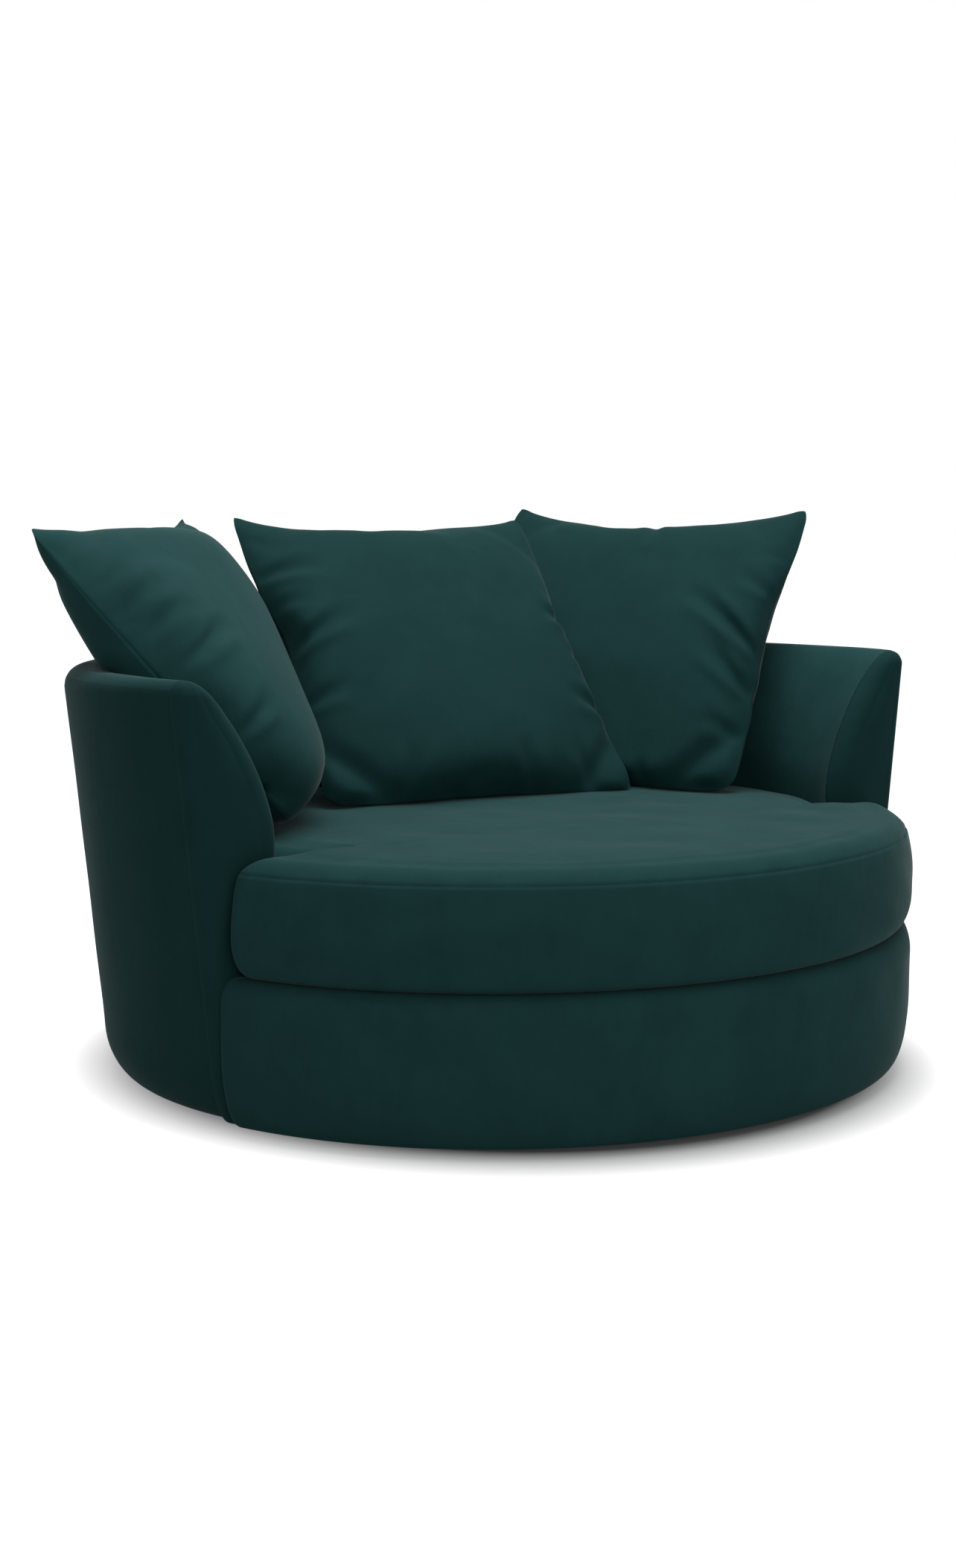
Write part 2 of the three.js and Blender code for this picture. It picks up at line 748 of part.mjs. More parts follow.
// The plan of the seat cushion at one height: a wide front arc, a rounded corner and a straight
// back edge on each ear, and a rear arc inside the wall
function seatOutline(height, frontInset, rearInset) {
  const halfWidth = seatHalfWidth - frontInset;
  const depth = seatFrontDepth - frontInset;
  const earBack = armFrontPlane + seatEarGap + rearInset / 2;
  const cornerStart = earBack + seatCornerRadius;
  const startTurn = Math.acos(cornerStart / depth);
  const front = spread(23).map((share) => {
    const turn = startTurn * (2 * share - 1);
    return flatPoint(halfWidth * Math.sin(turn), -depth * Math.cos(turn));
  });
  const last = front.at(-1);
  const cornerX = halfWidth * Math.sqrt(1 - (earBack / depth) ** 2);
  const corner = new THREE.QuadraticBezierCurve(last, flatPoint(cornerX, -earBack),
    flatPoint(cornerX - seatCornerRadius, -earBack)).getPoints(3).slice(1);
  const inset = wallSeatThickness + seatWallGap + rearInset;
  const back = wallArc(inset, height, earBack, 27);
  const ear = (back[0].x + corner.at(-1).x) / 2;
  const mirrored = corner.map((p) => flatPoint(-p.x, p.y)).reverse();
  return [...front, ...corner, flatPoint(ear, -earBack), ...back, flatPoint(-ear, -earBack), ...mirrored];
}

const seatBottom = deckTop + seatGap;
// Height from the bottom to the seam, then how far the front and the rear pull in at it
const seatSideShares = [[0, 1, 1], [0.05, 0.47, 0.5], [0.2, 0.12, 0.15], [0.49, 0, 0], [0.76, 0.09, 0], [1, 0.35, 0.3]];
const seatFrontPull = 34;
const seatRearPull = 14;
// Near the seam, how far in a ring of the top is and how much of the crown it has. Further in,
// how far the last of them shrinks towards the middle and how much of the crown that ring has.
const seatEdgeShares = [[0.26, 0.36], [1, 0.7]];
const seatCrownShares = [[0.82, 0.9], [0.5, 0.98]];

function seatCushion() {
  const lift = (outline, height) => outline.map((p) => new THREE.Vector3(p.x, p.y, height));
  const sides = seatSideShares.map(([up, front, rear]) => {
    const height = seatBottom + (seatSeamHeight - seatBottom) * up;
    return lift(seatOutline(height, seatFrontPull * front, seatRearPull * rear), height);
  });
  const [, seamFront, seamRear] = seatSideShares.at(-1);
  const edges = seatEdgeShares.map(([reach, rise]) => {
    const inset = seatCrownReach * reach;
    const outline = seatOutline(seatSeamHeight, seatFrontPull * seamFront + inset, seatRearPull * seamRear + inset);
    return lift(outline, seatSeamHeight + seatCrown * rise);
  });
  const top = seatCrownShares.map(([scale, rise]) => edges.at(-1).map((p) => new THREE.Vector3(p.x * scale,
    seatPivot + (p.y - seatPivot) * scale, seatSeamHeight + seatCrown * rise)));
  const peak = [new THREE.Vector3(0, seatPivot, seatSeamHeight + seatCrown)];
  return loft([...sides, ...edges, ...top, peak]);
}

// The zip along the middle of the cushion's rear side
function seatZip() {
  const height = (seatBottom + seatSeamHeight) / 2;
  const face = wallSeatThickness + seatWallGap - seatGap;
  const half = zipWidth / 2;
  const section = [[face, height - half], [face, height + half], [face - zipThickness, height + half],
    [face - zipThickness, height - half]];
  const rings = spread(zipSteps + 1).map((share) => {
    const turn = Math.PI + zipHalfAngle * degree * (2 * share - 1);
    return section.map(([inset, z]) => wallPoint(inset, z, turn));
  });
  return loft(rings);
}

// Back cushions

// Where each back cushion stands. rimShares is the place where its slope passes the level of the
// wall's top, as shares of the wall's half width and half depth there. turnFoot and turnTop are the angles of its lower and upper edges in plan, lean is
// how far it leans back and roll how far its top shifts sideways. As shares of its size, fill is
// half its thickness, and sink is how far its lower edge goes below the seat's crown: the middle
// of that edge is pulled up clear of the seat.
const backCushions = {
  back_cushion_left: {
    rimShares: [-0.7137, 0.2006], turnFoot: 63.6, turnTop: 40.4, lean: 35.9, roll: 18.2, fillShare: 0.1793,
    sinkShare: 0.004,
  },
  back_cushion_middle: {
    rimShares: [0.0259, 0.4271], turnFoot: -4.6, turnTop: -4.6, lean: 39.5, roll: 0, fillShare: 0.1379,
    sinkShare: 0.0017,
  },
  back_cushion_right: {
    rimShares: [0.5967, 0.3908], turnFoot: -63.6, turnTop: -57, lean: 35.8, roll: -0.8, fillShare: 0.1448,
    sinkShare: 0.0045,
  },
};

// The corners of a back cushion: lower left, lower right, upper left, upper right
function cushionCorners(name) {
  const { rimShares, turnFoot, turnTop, lean, roll, sinkShare } = backCushions[name];
  const up = new THREE.Vector3(0, 0, 1);
  const middleTurn = ((turnFoot + turnTop) / 2) * degree;
  const side = new THREE.Vector3(Math.cos(middleTurn), Math.sin(middleTurn), 0);
  const back = new THREE.Vector3().crossVectors(up, side);
  const slope = up.clone().multiplyScalar(Math.cos(lean * degree)).addScaledVector(back, Math.sin(lean * degree));
  slope.multiplyScalar(Math.cos(roll * degree)).addScaledVector(side, Math.sin(roll * degree));
  const [across, along] = rimShares;
  const footHeight = seatSeamHeight + seatCrown - sinkShare * backCushionSize;
  const retreat = (wallHeight - footHeight) * Math.tan(lean * degree);
  const foot = new THREE.Vector3(across * outerHalfWidth(wallHeight), along * outerHalfDepth(wallHeight), footHeight);
  foot.addScaledVector(back, -retreat);
  const head = foot.clone().addScaledVector(slope, backCushionSize);
  const ends = (middle, turn) => [-1, 1].map((sign) => {
    const edge = new THREE.Vector3(Math.cos(turn * degree), Math.sin(turn * degree), 0);
    return middle.clone().addScaledVector(edge, (sign * backCushionSize) / 2);
  });
  return [...ends(foot, turnFoot), ...ends(head, turnTop)];
}

// A knife-edge cushion: two crowned faces that meet in one seam. The seam's sides pull in
// between the corners, and the fill falls away towards the seam.
function backCushion(name) {
  const [lowLeft, lowRight, highLeft, highRight] = cushionCorners(name);
  const across = lowRight.clone().sub(lowLeft).add(highRight).sub(highLeft);
  const upwards = highLeft.clone().sub(lowLeft).add(highRight).sub(lowRight);
  const normal = across.cross(upwards).normalize();
  const fill = backCushions[name].fillShare * backCushionSize;
  const count = backCushionCells + 1;
  const place = (share) => Math.sin((share - 0.5) * Math.PI);
  const at = (i, j, face) => {
    const u = place(i / backCushionCells);
    const v = place(j / backCushionCells);
    const a = (1 + u * (1 - backCushionPullShare * (1 - v * v))) / 2;
    const b = (1 + v * (1 - backCushionPullShare * (1 - u * u))) / 2;
    const low = lowLeft.clone().lerp(lowRight, a);
    const high = highLeft.clone().lerp(highRight, a);
    const fullness = Math.max(0, (1 - u * u) * (1 - v * v)) ** backCushionPower;
    return low.lerp(high, b).addScaledVector(normal, face * fill * fullness);
  };
  const points = [];
  const number = new Map();
  const corner = (i, j, face) => {
    const rim = i === 0 || j === 0 || i === backCushionCells || j === backCushionCells;
    const key = `${i} ${j} ${rim ? 0 : face}`;
    if (!number.has(key)) {
      number.set(key, points.push(at(i, j, rim ? 0 : face)) - 1);
    }
    return number.get(key);
  };
  const faces = [];
  for (const face of [1, -1]) {
    for (let i = 0; i < count - 1; i += 1) {
      for (let j = 0; j < count - 1; j += 1) {
        const square = [corner(i, j, face), corner(i + 1, j, face), corner(i + 1, j + 1, face), corner(i, j + 1, face)];
        const [a, b, c, d] = face > 0 ? square : square.reverse();
        faces.push([a, b, c], [a, c, d]);
      }
    }
  }
  return closedBody(points, faces);
}

// Assembly

function addFloorBase() {
  const base = new THREE.Group();
  addPiece(base, 'floor_board', floorBoard(), timber(colours.ply));
  addPiece(base, 'lower_race', lowerRace(), steel());
  ringPlaces(glideCount, glideCircleRadius, 0).forEach((place, i) => {
    const piece = addPiece(base, `glide_${i + 1}`, glide(), nylon());
    piece.position.set(place.x, place.y, 0);
  });
  lowerScrewPlaces.forEach((place, i) => {
    const piece = addPiece(base, `lower_race_screw_${i + 1}`, screw(), steel());
    piece.rotation.x = Math.PI;
    piece.position.set(place.x, place.y, raceBottom + racePlate + seatGap + screwHeadHeight);
  });
  addPiece(base, 'ball_cage', ballCage(), steel());
  chair.add(base);
}

function addFrame() {
  const frame = new THREE.Group();
  addPiece(frame, 'upper_race', upperRace(), steel());
  upperScrewPlaces.forEach((place, i) => {
    const piece = addPiece(frame, `upper_race_screw_${i + 1}`, screw(), steel());
    piece.position.set(place.x, place.y, raceTop - racePlate - seatGap - screwHeadHeight);
  });
  addPiece(frame, 'swivel_board', swivelBoard(), timber(colours.ply));
  addPiece(frame, 'bottom_frame', bottomFrame(), timber(colours.ply));
  addPiece(frame, 'seat_frame', seatFrame(), timber(colours.ply));
  addPiece(frame, 'front_rail', frontRail(), timber(colours.ply));
  addPiece(frame, 'top_rail', topRail(), timber(colours.ply));
  const railHeight = frameTop + seatGap;
  const ribReach = outerHalfWidth(frameTop) - ribInset - crossRailEndGap;
  const sideRail = addPiece(frame, 'cross_rail_side', crossRail(-ribReach, ribReach, true), timber(colours.beech));
  sideRail.position.z = railHeight;
  const front = frontHalfDepth - frontPanelThickness - frontRailThickness - crossRailEndGap;
  const back = outerHalfDepth(frameTop) - ribInset - crossRailEndGap;
  const longRail = addPiece(frame, 'cross_rail_long', crossRail(-front, back, false), timber(colours.beech));
  longRail.rotation.z = Math.PI / 2;
  longRail.position.z = railHeight;
  range(ribCount).forEach((i) => {
    const turn = Math.PI + (i - (ribCount - 1) / 2) * ribSpacingAngle * degree;
    const piece = addPiece(frame, `wall_rib_${i + 1}`, rib(turn), timber(colours.ply));
    piece.rotation.z = turn - Math.PI / 2;
  });
  addPiece(frame, 'arm_board_left', armBoard(-1), timber(colours.ply));
  addPiece(frame, 'arm_board_right', armBoard(1), timber(colours.ply));
  range(springCount).forEach((i) => {
    const { halfWidth } = holeSize(seatFrameBottom, ribInset, seatFrameWidth);
    const x = (i - (springCount - 1) / 2) * springPitchShare * halfWidth;
    addPiece(frame, `seat_spring_${i + 1}`, seatSpring(x), steel());
  });
  chair.add(frame);
}

function addUpholstery() {
  const covers = new THREE.Group();
  addPiece(covers, 'outside_cover', outsideCover(), fabric(colours.velvet));
  addPiece(covers, 'inside_cover', insideCover(), fabric(colours.velvet));
  addPiece(covers, 'arm_front_left', armFront(-1), fabric(colours.velvet));
  addPiece(covers, 'arm_front_right', armFront(1), fabric(colours.velvet));
  addPiece(covers, 'front_base_panel', frontBasePanel(), fabric(colours.velvet));
  addPiece(covers, 'deck_cover', deckCover(), fabric(colours.lining));
  addPiece(covers, 'dust_cover', dustCover(), fabric(colours.lining));
  chair.add(covers);
}

function addCushions() {
  const cushions = new THREE.Group();
  addPiece(cushions, 'seat_cushion', seatCushion(), fabric(colours.velvet));
  addPiece(cushions, 'seat_cushion_zip', seatZip(), nylon());
  for (const name of Object.keys(backCushions)) {
    addPiece(cushions, name, backCushion(name), fabric(colours.velvet));
  }
  chair.add(cushions);
}

addFloorBase();
addFrame();
addUpholstery();
addCushions();

export default chair;
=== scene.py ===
# %% [markdown]
# This is a round cuddle chair in velvet: one flared tub wall, a deep seat cushion, and three
# loose back cushions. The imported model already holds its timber, springs and turntable. This
# script dresses it: every part that is sewn or stuffed is made again here as a finer surface,
# and everything else gets a finish. The steps go from the plain helpers, through the finishes,
# to the covers, the cushions, the floor and the light.

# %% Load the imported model
import math

import bpy
import numpy as np
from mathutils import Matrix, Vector


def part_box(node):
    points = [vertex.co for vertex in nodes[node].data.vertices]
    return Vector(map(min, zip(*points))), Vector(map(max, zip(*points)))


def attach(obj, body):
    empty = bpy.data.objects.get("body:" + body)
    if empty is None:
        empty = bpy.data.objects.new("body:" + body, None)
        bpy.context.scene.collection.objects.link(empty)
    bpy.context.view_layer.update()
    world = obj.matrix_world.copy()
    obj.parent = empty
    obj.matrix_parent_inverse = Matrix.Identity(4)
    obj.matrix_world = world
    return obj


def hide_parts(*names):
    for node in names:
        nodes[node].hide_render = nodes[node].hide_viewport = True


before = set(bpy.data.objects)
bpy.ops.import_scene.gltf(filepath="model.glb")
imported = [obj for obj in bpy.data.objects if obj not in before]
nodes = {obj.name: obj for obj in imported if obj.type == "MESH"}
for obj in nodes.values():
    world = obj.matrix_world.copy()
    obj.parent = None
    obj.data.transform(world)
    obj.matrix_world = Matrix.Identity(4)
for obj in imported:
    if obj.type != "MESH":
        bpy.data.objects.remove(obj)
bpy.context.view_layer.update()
MM = 0.001

# %% [markdown]
# The camera comes first. The photograph was taken from a little above the wall, from the
# front left, with the whole chair in a tall frame. Its place, its turn and its lens were worked
# out from three outlines that are level on the real chair: the seat's edge, the base's lower
# edge and the wall's top. So they are written here as numbers.

# %% Place the camera
CAMERA_PLACE = (-1.956, -2.900, 0.8643)
CAMERA_TURN = math.radians(-33.225)
CAMERA_DIP = math.radians(6.846)
LENS_MM = 49.35


def look_along(turn, dip):
    """The direction of a level line turned about the upright axis and then dipped down."""
    level = math.cos(dip)
    return Vector((-math.sin(turn) * level, math.cos(turn) * level, -math.sin(dip)))


camera_data = bpy.data.cameras.new("camera")
camera_data.lens = LENS_MM
camera_data.sensor_width = 36
camera = bpy.data.objects.new("camera", camera_data)
bpy.context.scene.collection.objects.link(camera)
camera.location = CAMERA_PLACE
camera.rotation_mode = "QUATERNION"
camera.rotation_quaternion = look_along(CAMERA_TURN, CAMERA_DIP).to_track_quat("-Z", "Y")
bpy.context.scene.camera = camera
print("camera looks along", np.round(look_along(CAMERA_TURN, CAMERA_DIP), 3))

# %% [markdown]
# Nearly every piece here is a sheet of points with rows and columns, worked out by a formula.
# The first helper numbers the squares of a grid, and the next closes a tube of rings with a
# flat face at each end. The last one makes the object. A closed surface whose volume comes out
# negative has its faces the wrong way round, so that helper measures the volume and turns them.

# %% Turn grids of points into meshes
def grid_squares(index, wrap=False):
    """The four corners of each square of a grid of point numbers. With wrap, the last column
    is joined to the first."""
    if wrap:
        index = np.concatenate([index, index[:, :1]], axis=1)
    corners = [index[:-1, :-1], index[1:, :-1], index[1:, 1:], index[:-1, 1:]]
    return np.stack(corners, axis=-1).reshape(-1, 4)


def tube_faces(rings, columns):
    """Squares between rings of points, with one flat face over the first and the last ring."""
    index = np.arange(rings * columns).reshape(rings, columns)
    squares = grid_squares(index, wrap=True).tolist()
    return squares + [index[0].tolist(), index[-1][::-1].tolist()]


def volume_of(points, faces):
    """Six times the volume. Each face is cut into triangles from its first corner, and each
    triangle counts as the signed box that its three corners span from the origin."""
    total = 0.0
    for corners in {len(face) for face in faces}:
        block = points[np.array([face for face in faces if len(face) == corners])]
        total += np.einsum("fj,fkj->", block[:, 0], np.cross(block[:, 1:-1], block[:, 2:]))
    return total


def make_piece(name, points_mm, faces, sharp_degrees=50):
    """Makes an object of points in millimetres, with smooth shading except at sharp edges."""
    points = np.asarray(points_mm, float).reshape(-1, 3) * MM
    faces = [list(face) for face in faces]
    if volume_of(points, faces) < 0:
        faces = [face[::-1] for face in faces]
    mesh = bpy.data.meshes.new(name)
    mesh.from_pydata(points.tolist(), [], faces)
    mesh.polygons.foreach_set("use_smooth", np.ones(len(faces), bool))
    mesh.set_sharp_from_angle(angle=math.radians(sharp_degrees))
    mesh.update()
    piece = bpy.data.objects.new(name, mesh)
    bpy.context.scene.collection.objects.link(piece)
    print(name, len(points), "points", len(faces), "faces")
    return piece


# %% [markdown]
# Colours are written the way a colour picker shows them, and Blender wants them as amounts of
# light, so one function converts them. Materials are small graphs of nodes. One function adds
# a node: it sets the node's own properties or its sockets, and joins its inputs to the
# outputs of other nodes.

# %% Helpers for colours and nodes
def linear(hex_colour):
    """A colour such as 1d4243 as linear red, green, blue and full cover."""
    shown = np.array([int(hex_colour[i:i + 2], 16) for i in (0, 2, 4)]) / 255
    light = np.where(shown <= 0.04045, shown / 12.92, ((shown + 0.055) / 1.055) ** 2.4)
    return (*light.tolist(), 1.0)


def add_node(material, kind, settings=None, links=None):
    """Adds a node with its settings, and joins each named input to an output."""
    node = material.node_tree.nodes.new(kind)
    for name, value in (settings or {}).items():
        if isinstance(name, str) and hasattr(node, name):
            setattr(node, name, value)
        else:
            node.inputs[name].default_value = value
    for name, output in (links or {}).items():
        material.node_tree.links.new(output, node.inputs[name])
    return node


def join(material, shader, outputs):
    """Links each output to the shader's input of that name."""
    for name, output in outputs.items():
        material.node_tree.links.new(output, shader.inputs[name])


def new_material(name, settings):
    """A material with one main shader, and its node of object coordinates."""
    material = bpy.data.materials.new(name)
    material.use_nodes = True
    shader = material.node_tree.nodes["Principled BSDF"]
    for socket, value in settings.items():
        shader.inputs[socket].default_value = value
    place = add_node(material, "ShaderNodeTexCoord")
    return material, shader, place.outputs["Object"]


def paint(piece, *materials):
    """Puts the materials into the piece's slots in place of what was there."""
    piece.data.materials.clear()
    for material in materials:
        piece.data.materials.append(material)


print("the hex colour 808080 is", np.round(linear("808080")[0], 3), "as light")

# %% [markdown]
# The cover is polyester velvet: a knitted back with a short cut pile that stands up from it.
# The tips of the pile catch light that grazes the cloth, so edges and faces seen along their
# length look paler than faces seen square on. That is what the shader's sheen does, and it is
# kept weak, because this pile is dense and dark. There are two shades of the same velvet. The
# second is a darker copy with less sheen, and it is painted shade: it makes the outside of the
# wall, the arm fronts, and the middle and the right back cushion darker than the lamps alone
# would make them.
# Where hands have brushed it the pile leans a little this way and that, which leaves soft
# paler and darker patches as wide as a palm, with narrower marks in them. The pile itself is
# under 1 mm deep and 0.3 mm apart. That is too fine to show, so its bump is drawn 3 mm wide.

# %% Velvet
VELVET_DARK, VELVET_PALE, VELVET_SHEEN = "1f4242", "234949", 0.16
# The second, darker shade is painted shade: a darker copy of the same velvet with less sheen.
PAINTED_SHADE_DARK, PAINTED_SHADE_PALE, PAINTED_SHADE_SHEEN = "173838", "1b3d3d", 0.1
PATCH_MM, MARK_MM, PILE_DRAWN_MM = 75, 22, 3


def make_velvet(name, dark, pale, sheen):
    """Soft patches from a wide noise, brush marks from a stretched one, and a fine pile."""
    material, shader, place = new_material(name, {
        "Roughness": 0.9, "IOR": 1.45, "Specular IOR Level": 0.1,
        "Sheen Weight": sheen, "Sheen Roughness": 0.24, "Sheen Tint": (0.95, 1.0, 1.0, 1.0)})
    patches = add_node(material, "ShaderNodeTexNoise",
                       {"Scale": 1000 / PATCH_MM, "Detail": 3.0, "Roughness": 0.55},
                       {"Vector": place})
    stretched = add_node(material, "ShaderNodeMapping", {"Scale": (1.0, 1.0, 0.35)},
                         {"Vector": place})
    marks = add_node(material, "ShaderNodeTexNoise",
                     {"Scale": 1000 / MARK_MM, "Detail": 2.0, "Distortion": 0.6},
                     {"Vector": stretched.outputs["Vector"]})
    pile = add_node(material, "ShaderNodeTexNoise",
                    {"Scale": 1000 / PILE_DRAWN_MM, "Detail": 2.0}, {"Vector": place})
    leaning = add_node(material, "ShaderNodeMath", {"operation": "MULTIPLY_ADD", 1: 0.35},
                       {0: marks.outputs["Fac"], 2: patches.outputs["Fac"]})
    spread = add_node(material, "ShaderNodeMapRange",
                      {"From Min": 0.42, "From Max": 0.92}, {"Value": leaning.outputs[0]})
    colour = add_node(material, "ShaderNodeMix",
                      {"data_type": "RGBA", 6: linear(dark), 7: linear(pale)},
                      {0: spread.outputs["Result"]})
    soft = add_node(material, "ShaderNodeBump", {"Strength": 0.3, "Distance": 0.002},
                    {"Height": leaning.outputs[0]})
    fine = add_node(material, "ShaderNodeBump", {"Strength": 0.35, "Distance": 0.0006},
                    {"Height": pile.outputs["Fac"], "Normal": soft.outputs["Normal"]})
    join(material, shader, {"Base Color": colour.outputs[2], "Normal": fine.outputs["Normal"]})
    return material


velvet = make_velvet("cut_pile_velvet", VELVET_DARK, VELVET_PALE, VELVET_SHEEN)
# A darker copy of the velvet with less sheen: painted shade.
velvet_painted_shade = make_velvet("cut_pile_velvet_painted_shade", PAINTED_SHADE_DARK, PAINTED_SHADE_PALE,
                          PAINTED_SHADE_SHEEN)
print("velvet from", VELVET_DARK, "to", VELVET_PALE, "and with the pile down from",
      PAINTED_SHADE_DARK, "to", PAINTED_SHADE_PALE)

# %% [markdown]
# Under the seat cushion and under the chair the maker saves velvet and uses a plain woven
# lining. Its threads are about 0.5 mm apart. They are drawn 2 mm apart so that the weave
# shows: two bands of waves, one across the other, make the over and under of the cloth. A
# wave texture of scale 1 repeats every 314 mm, which is what its scale is worked out from.

# %% Woven lining
WAVE_REPEAT_MM = 314
THREAD_DRAWN_MM = 2.0


def make_lining(name, dark, pale, thread_mm):
    """A bump and a tint that are the greater of two crossed waves."""
    material, shader, place = new_material(name, {"Roughness": 0.85, "Specular IOR Level": 0.2,
                                                  "Sheen Weight": 0.15})
    waves = []
    for direction in ("X", "Y"):
        waves.append(add_node(material, "ShaderNodeTexWave",
                              {"bands_direction": direction,
                               "Scale": WAVE_REPEAT_MM / thread_mm / 2,
                               "Distortion": 0.4, "Detail": 1.0}, {"Vector": place}))
    weave = add_node(material, "ShaderNodeMath", {"operation": "MAXIMUM"},
                     {0: waves[0].outputs["Fac"], 1: waves[1].outputs["Fac"]})
    colour = add_node(material, "ShaderNodeMix",
                      {"data_type": "RGBA", 6: linear(dark), 7: linear(pale)},
                      {0: weave.outputs[0]})
    bump = add_node(material, "ShaderNodeBump", {"Strength": 0.3, "Distance": 0.0005},
                    {"Height": weave.outputs[0]})
    join(material, shader, {"Base Color": colour.outputs[2], "Normal": bump.outputs["Normal"]})
    return material


lining = make_lining("woven_lining", "141a1b", "262d2e", THREAD_DRAWN_MM)
print("lining threads drawn", THREAD_DRAWN_MM, "mm apart")

# %% [markdown]
# The boards are birch plywood, 18 mm thick, cut with a router. Their flat faces show a pale
# peeled veneer with long faint flames, and their cut edges show thirteen thin layers, light
# and dark in turn. The layers run along the board's own thickness, so the function turns the
# pattern until its third axis lies across the board. How upright the surface stands to that
# axis tells a face from an edge.

# %% Birch plywood
LAYER_MM = 18 / 13


def make_plywood(name, thickness_axis, turn=0.0):
    """Stripes across the thickness on the edges, and a stretched noise on the faces."""
    material, shader, place = new_material(name, {"Roughness": 0.62, "Specular IOR Level": 0.35})
    tilt = (0, 0, turn) if thickness_axis == "Z" else (math.pi / 2, 0, turn)
    board = add_node(material, "ShaderNodeMapping",
                     {"vector_type": "TEXTURE", "Rotation": tilt}, {"Vector": place})
    shape = add_node(material, "ShaderNodeNewGeometry")
    facing = add_node(material, "ShaderNodeMapping", {"vector_type": "TEXTURE", "Rotation": tilt},
                      {"Vector": shape.outputs["Normal"]})
    parts = add_node(material, "ShaderNodeSeparateXYZ", None, {0: facing.outputs["Vector"]})
    flat = add_node(material, "ShaderNodeMath", {"operation": "ABSOLUTE"}, {0: parts.outputs["Z"]})
    is_face = add_node(material, "ShaderNodeMapRange", {"From Min": 0.6, "From Max": 0.8},
                       {"Value": flat.outputs[0]})
    layers = add_node(material, "ShaderNodeTexWave",
                      {"bands_direction": "Z", "Scale": WAVE_REPEAT_MM / LAYER_MM / 2,
                       "Distortion": 0.5, "Detail": 1.0, "Detail Scale": 0.3},
                      {"Vector": board.outputs["Vector"]})
    long_grain = add_node(material, "ShaderNodeMapping", {"Scale": (4.0, 60.0, 60.0)},
                          {"Vector": board.outputs["Vector"]})
    flames = add_node(material, "ShaderNodeTexNoise", {"Scale": 1.0, "Detail": 5.0,
                                                       "Distortion": 1.2},
                      {"Vector": long_grain.outputs["Vector"]})
    edge = add_node(material, "ShaderNodeMix",
                    {"data_type": "RGBA", 6: linear("8a6a45"), 7: linear("cfae80")},
                    {0: layers.outputs["Fac"]})
    veneer = add_node(material, "ShaderNodeMix",
                      {"data_type": "RGBA", 6: linear("c49e6c"), 7: linear("dfc397")},
                      {0: flames.outputs["Fac"]})
    colour = add_node(material, "ShaderNodeMix", {"data_type": "RGBA"},
                      {0: is_face.outputs["Result"], 6: edge.outputs[2], 7: veneer.outputs[2]})
    bump = add_node(material, "ShaderNodeBump", {"Strength": 0.2, "Distance": 0.0004},
                    {"Height": flames.outputs["Fac"]})
    join(material, shader, {"Base Color": colour.outputs[2], "Normal": bump.outputs["Normal"]})
    return material


print("plywood layers", round(LAYER_MM, 2), "mm")

# %% [markdown]
# The flat boards lie level, so their thickness is the upright axis, and the two arm boards
# stand across the chair. The nine ribs of the wall stand on edge like the spokes of a wheel.
# Each gets a plywood of its own, turned by the angle at which the rib stands round the chair.

# %% Paint the boards
RIB_COUNT = 9
flat_ply = make_plywood("birch_plywood_flat", "Z")
for board_name in ("floor_board", "swivel_board", "bottom_frame", "seat_frame"):
    paint(nodes[board_name], flat_ply)
upright_ply = make_plywood("birch_plywood_upright", "Y")
for board_name in ("arm_board_left", "arm_board_right"):
    paint(nodes[board_name], upright_ply)
for rib in range(1, RIB_COUNT + 1):
    low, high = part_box(f"wall_rib_{rib}")
    middle = (np.array(low) + np.array(high)) / 2
    around = math.atan2(middle[0], -middle[1])
    paint(nodes[f"wall_rib_{rib}"], make_plywood(f"birch_plywood_rib_{rib}", "Y",
                                                 around + math.pi / 2))
print("plywood boards painted, with", RIB_COUNT, "ribs")

# %% [markdown]
# The rails are planed beech: an even, warm brown wood with short dark flecks along the grain.
# The flecks are 2 to 4 mm long and hair thin. They are drawn a little wider so that they
# show. Straight rails have their grain along one axis. The two bent rails go round the chair,
# so for them the pattern is turned into a distance round and a distance out.

# %% Planed beech
BENT_RADIUS = 0.65


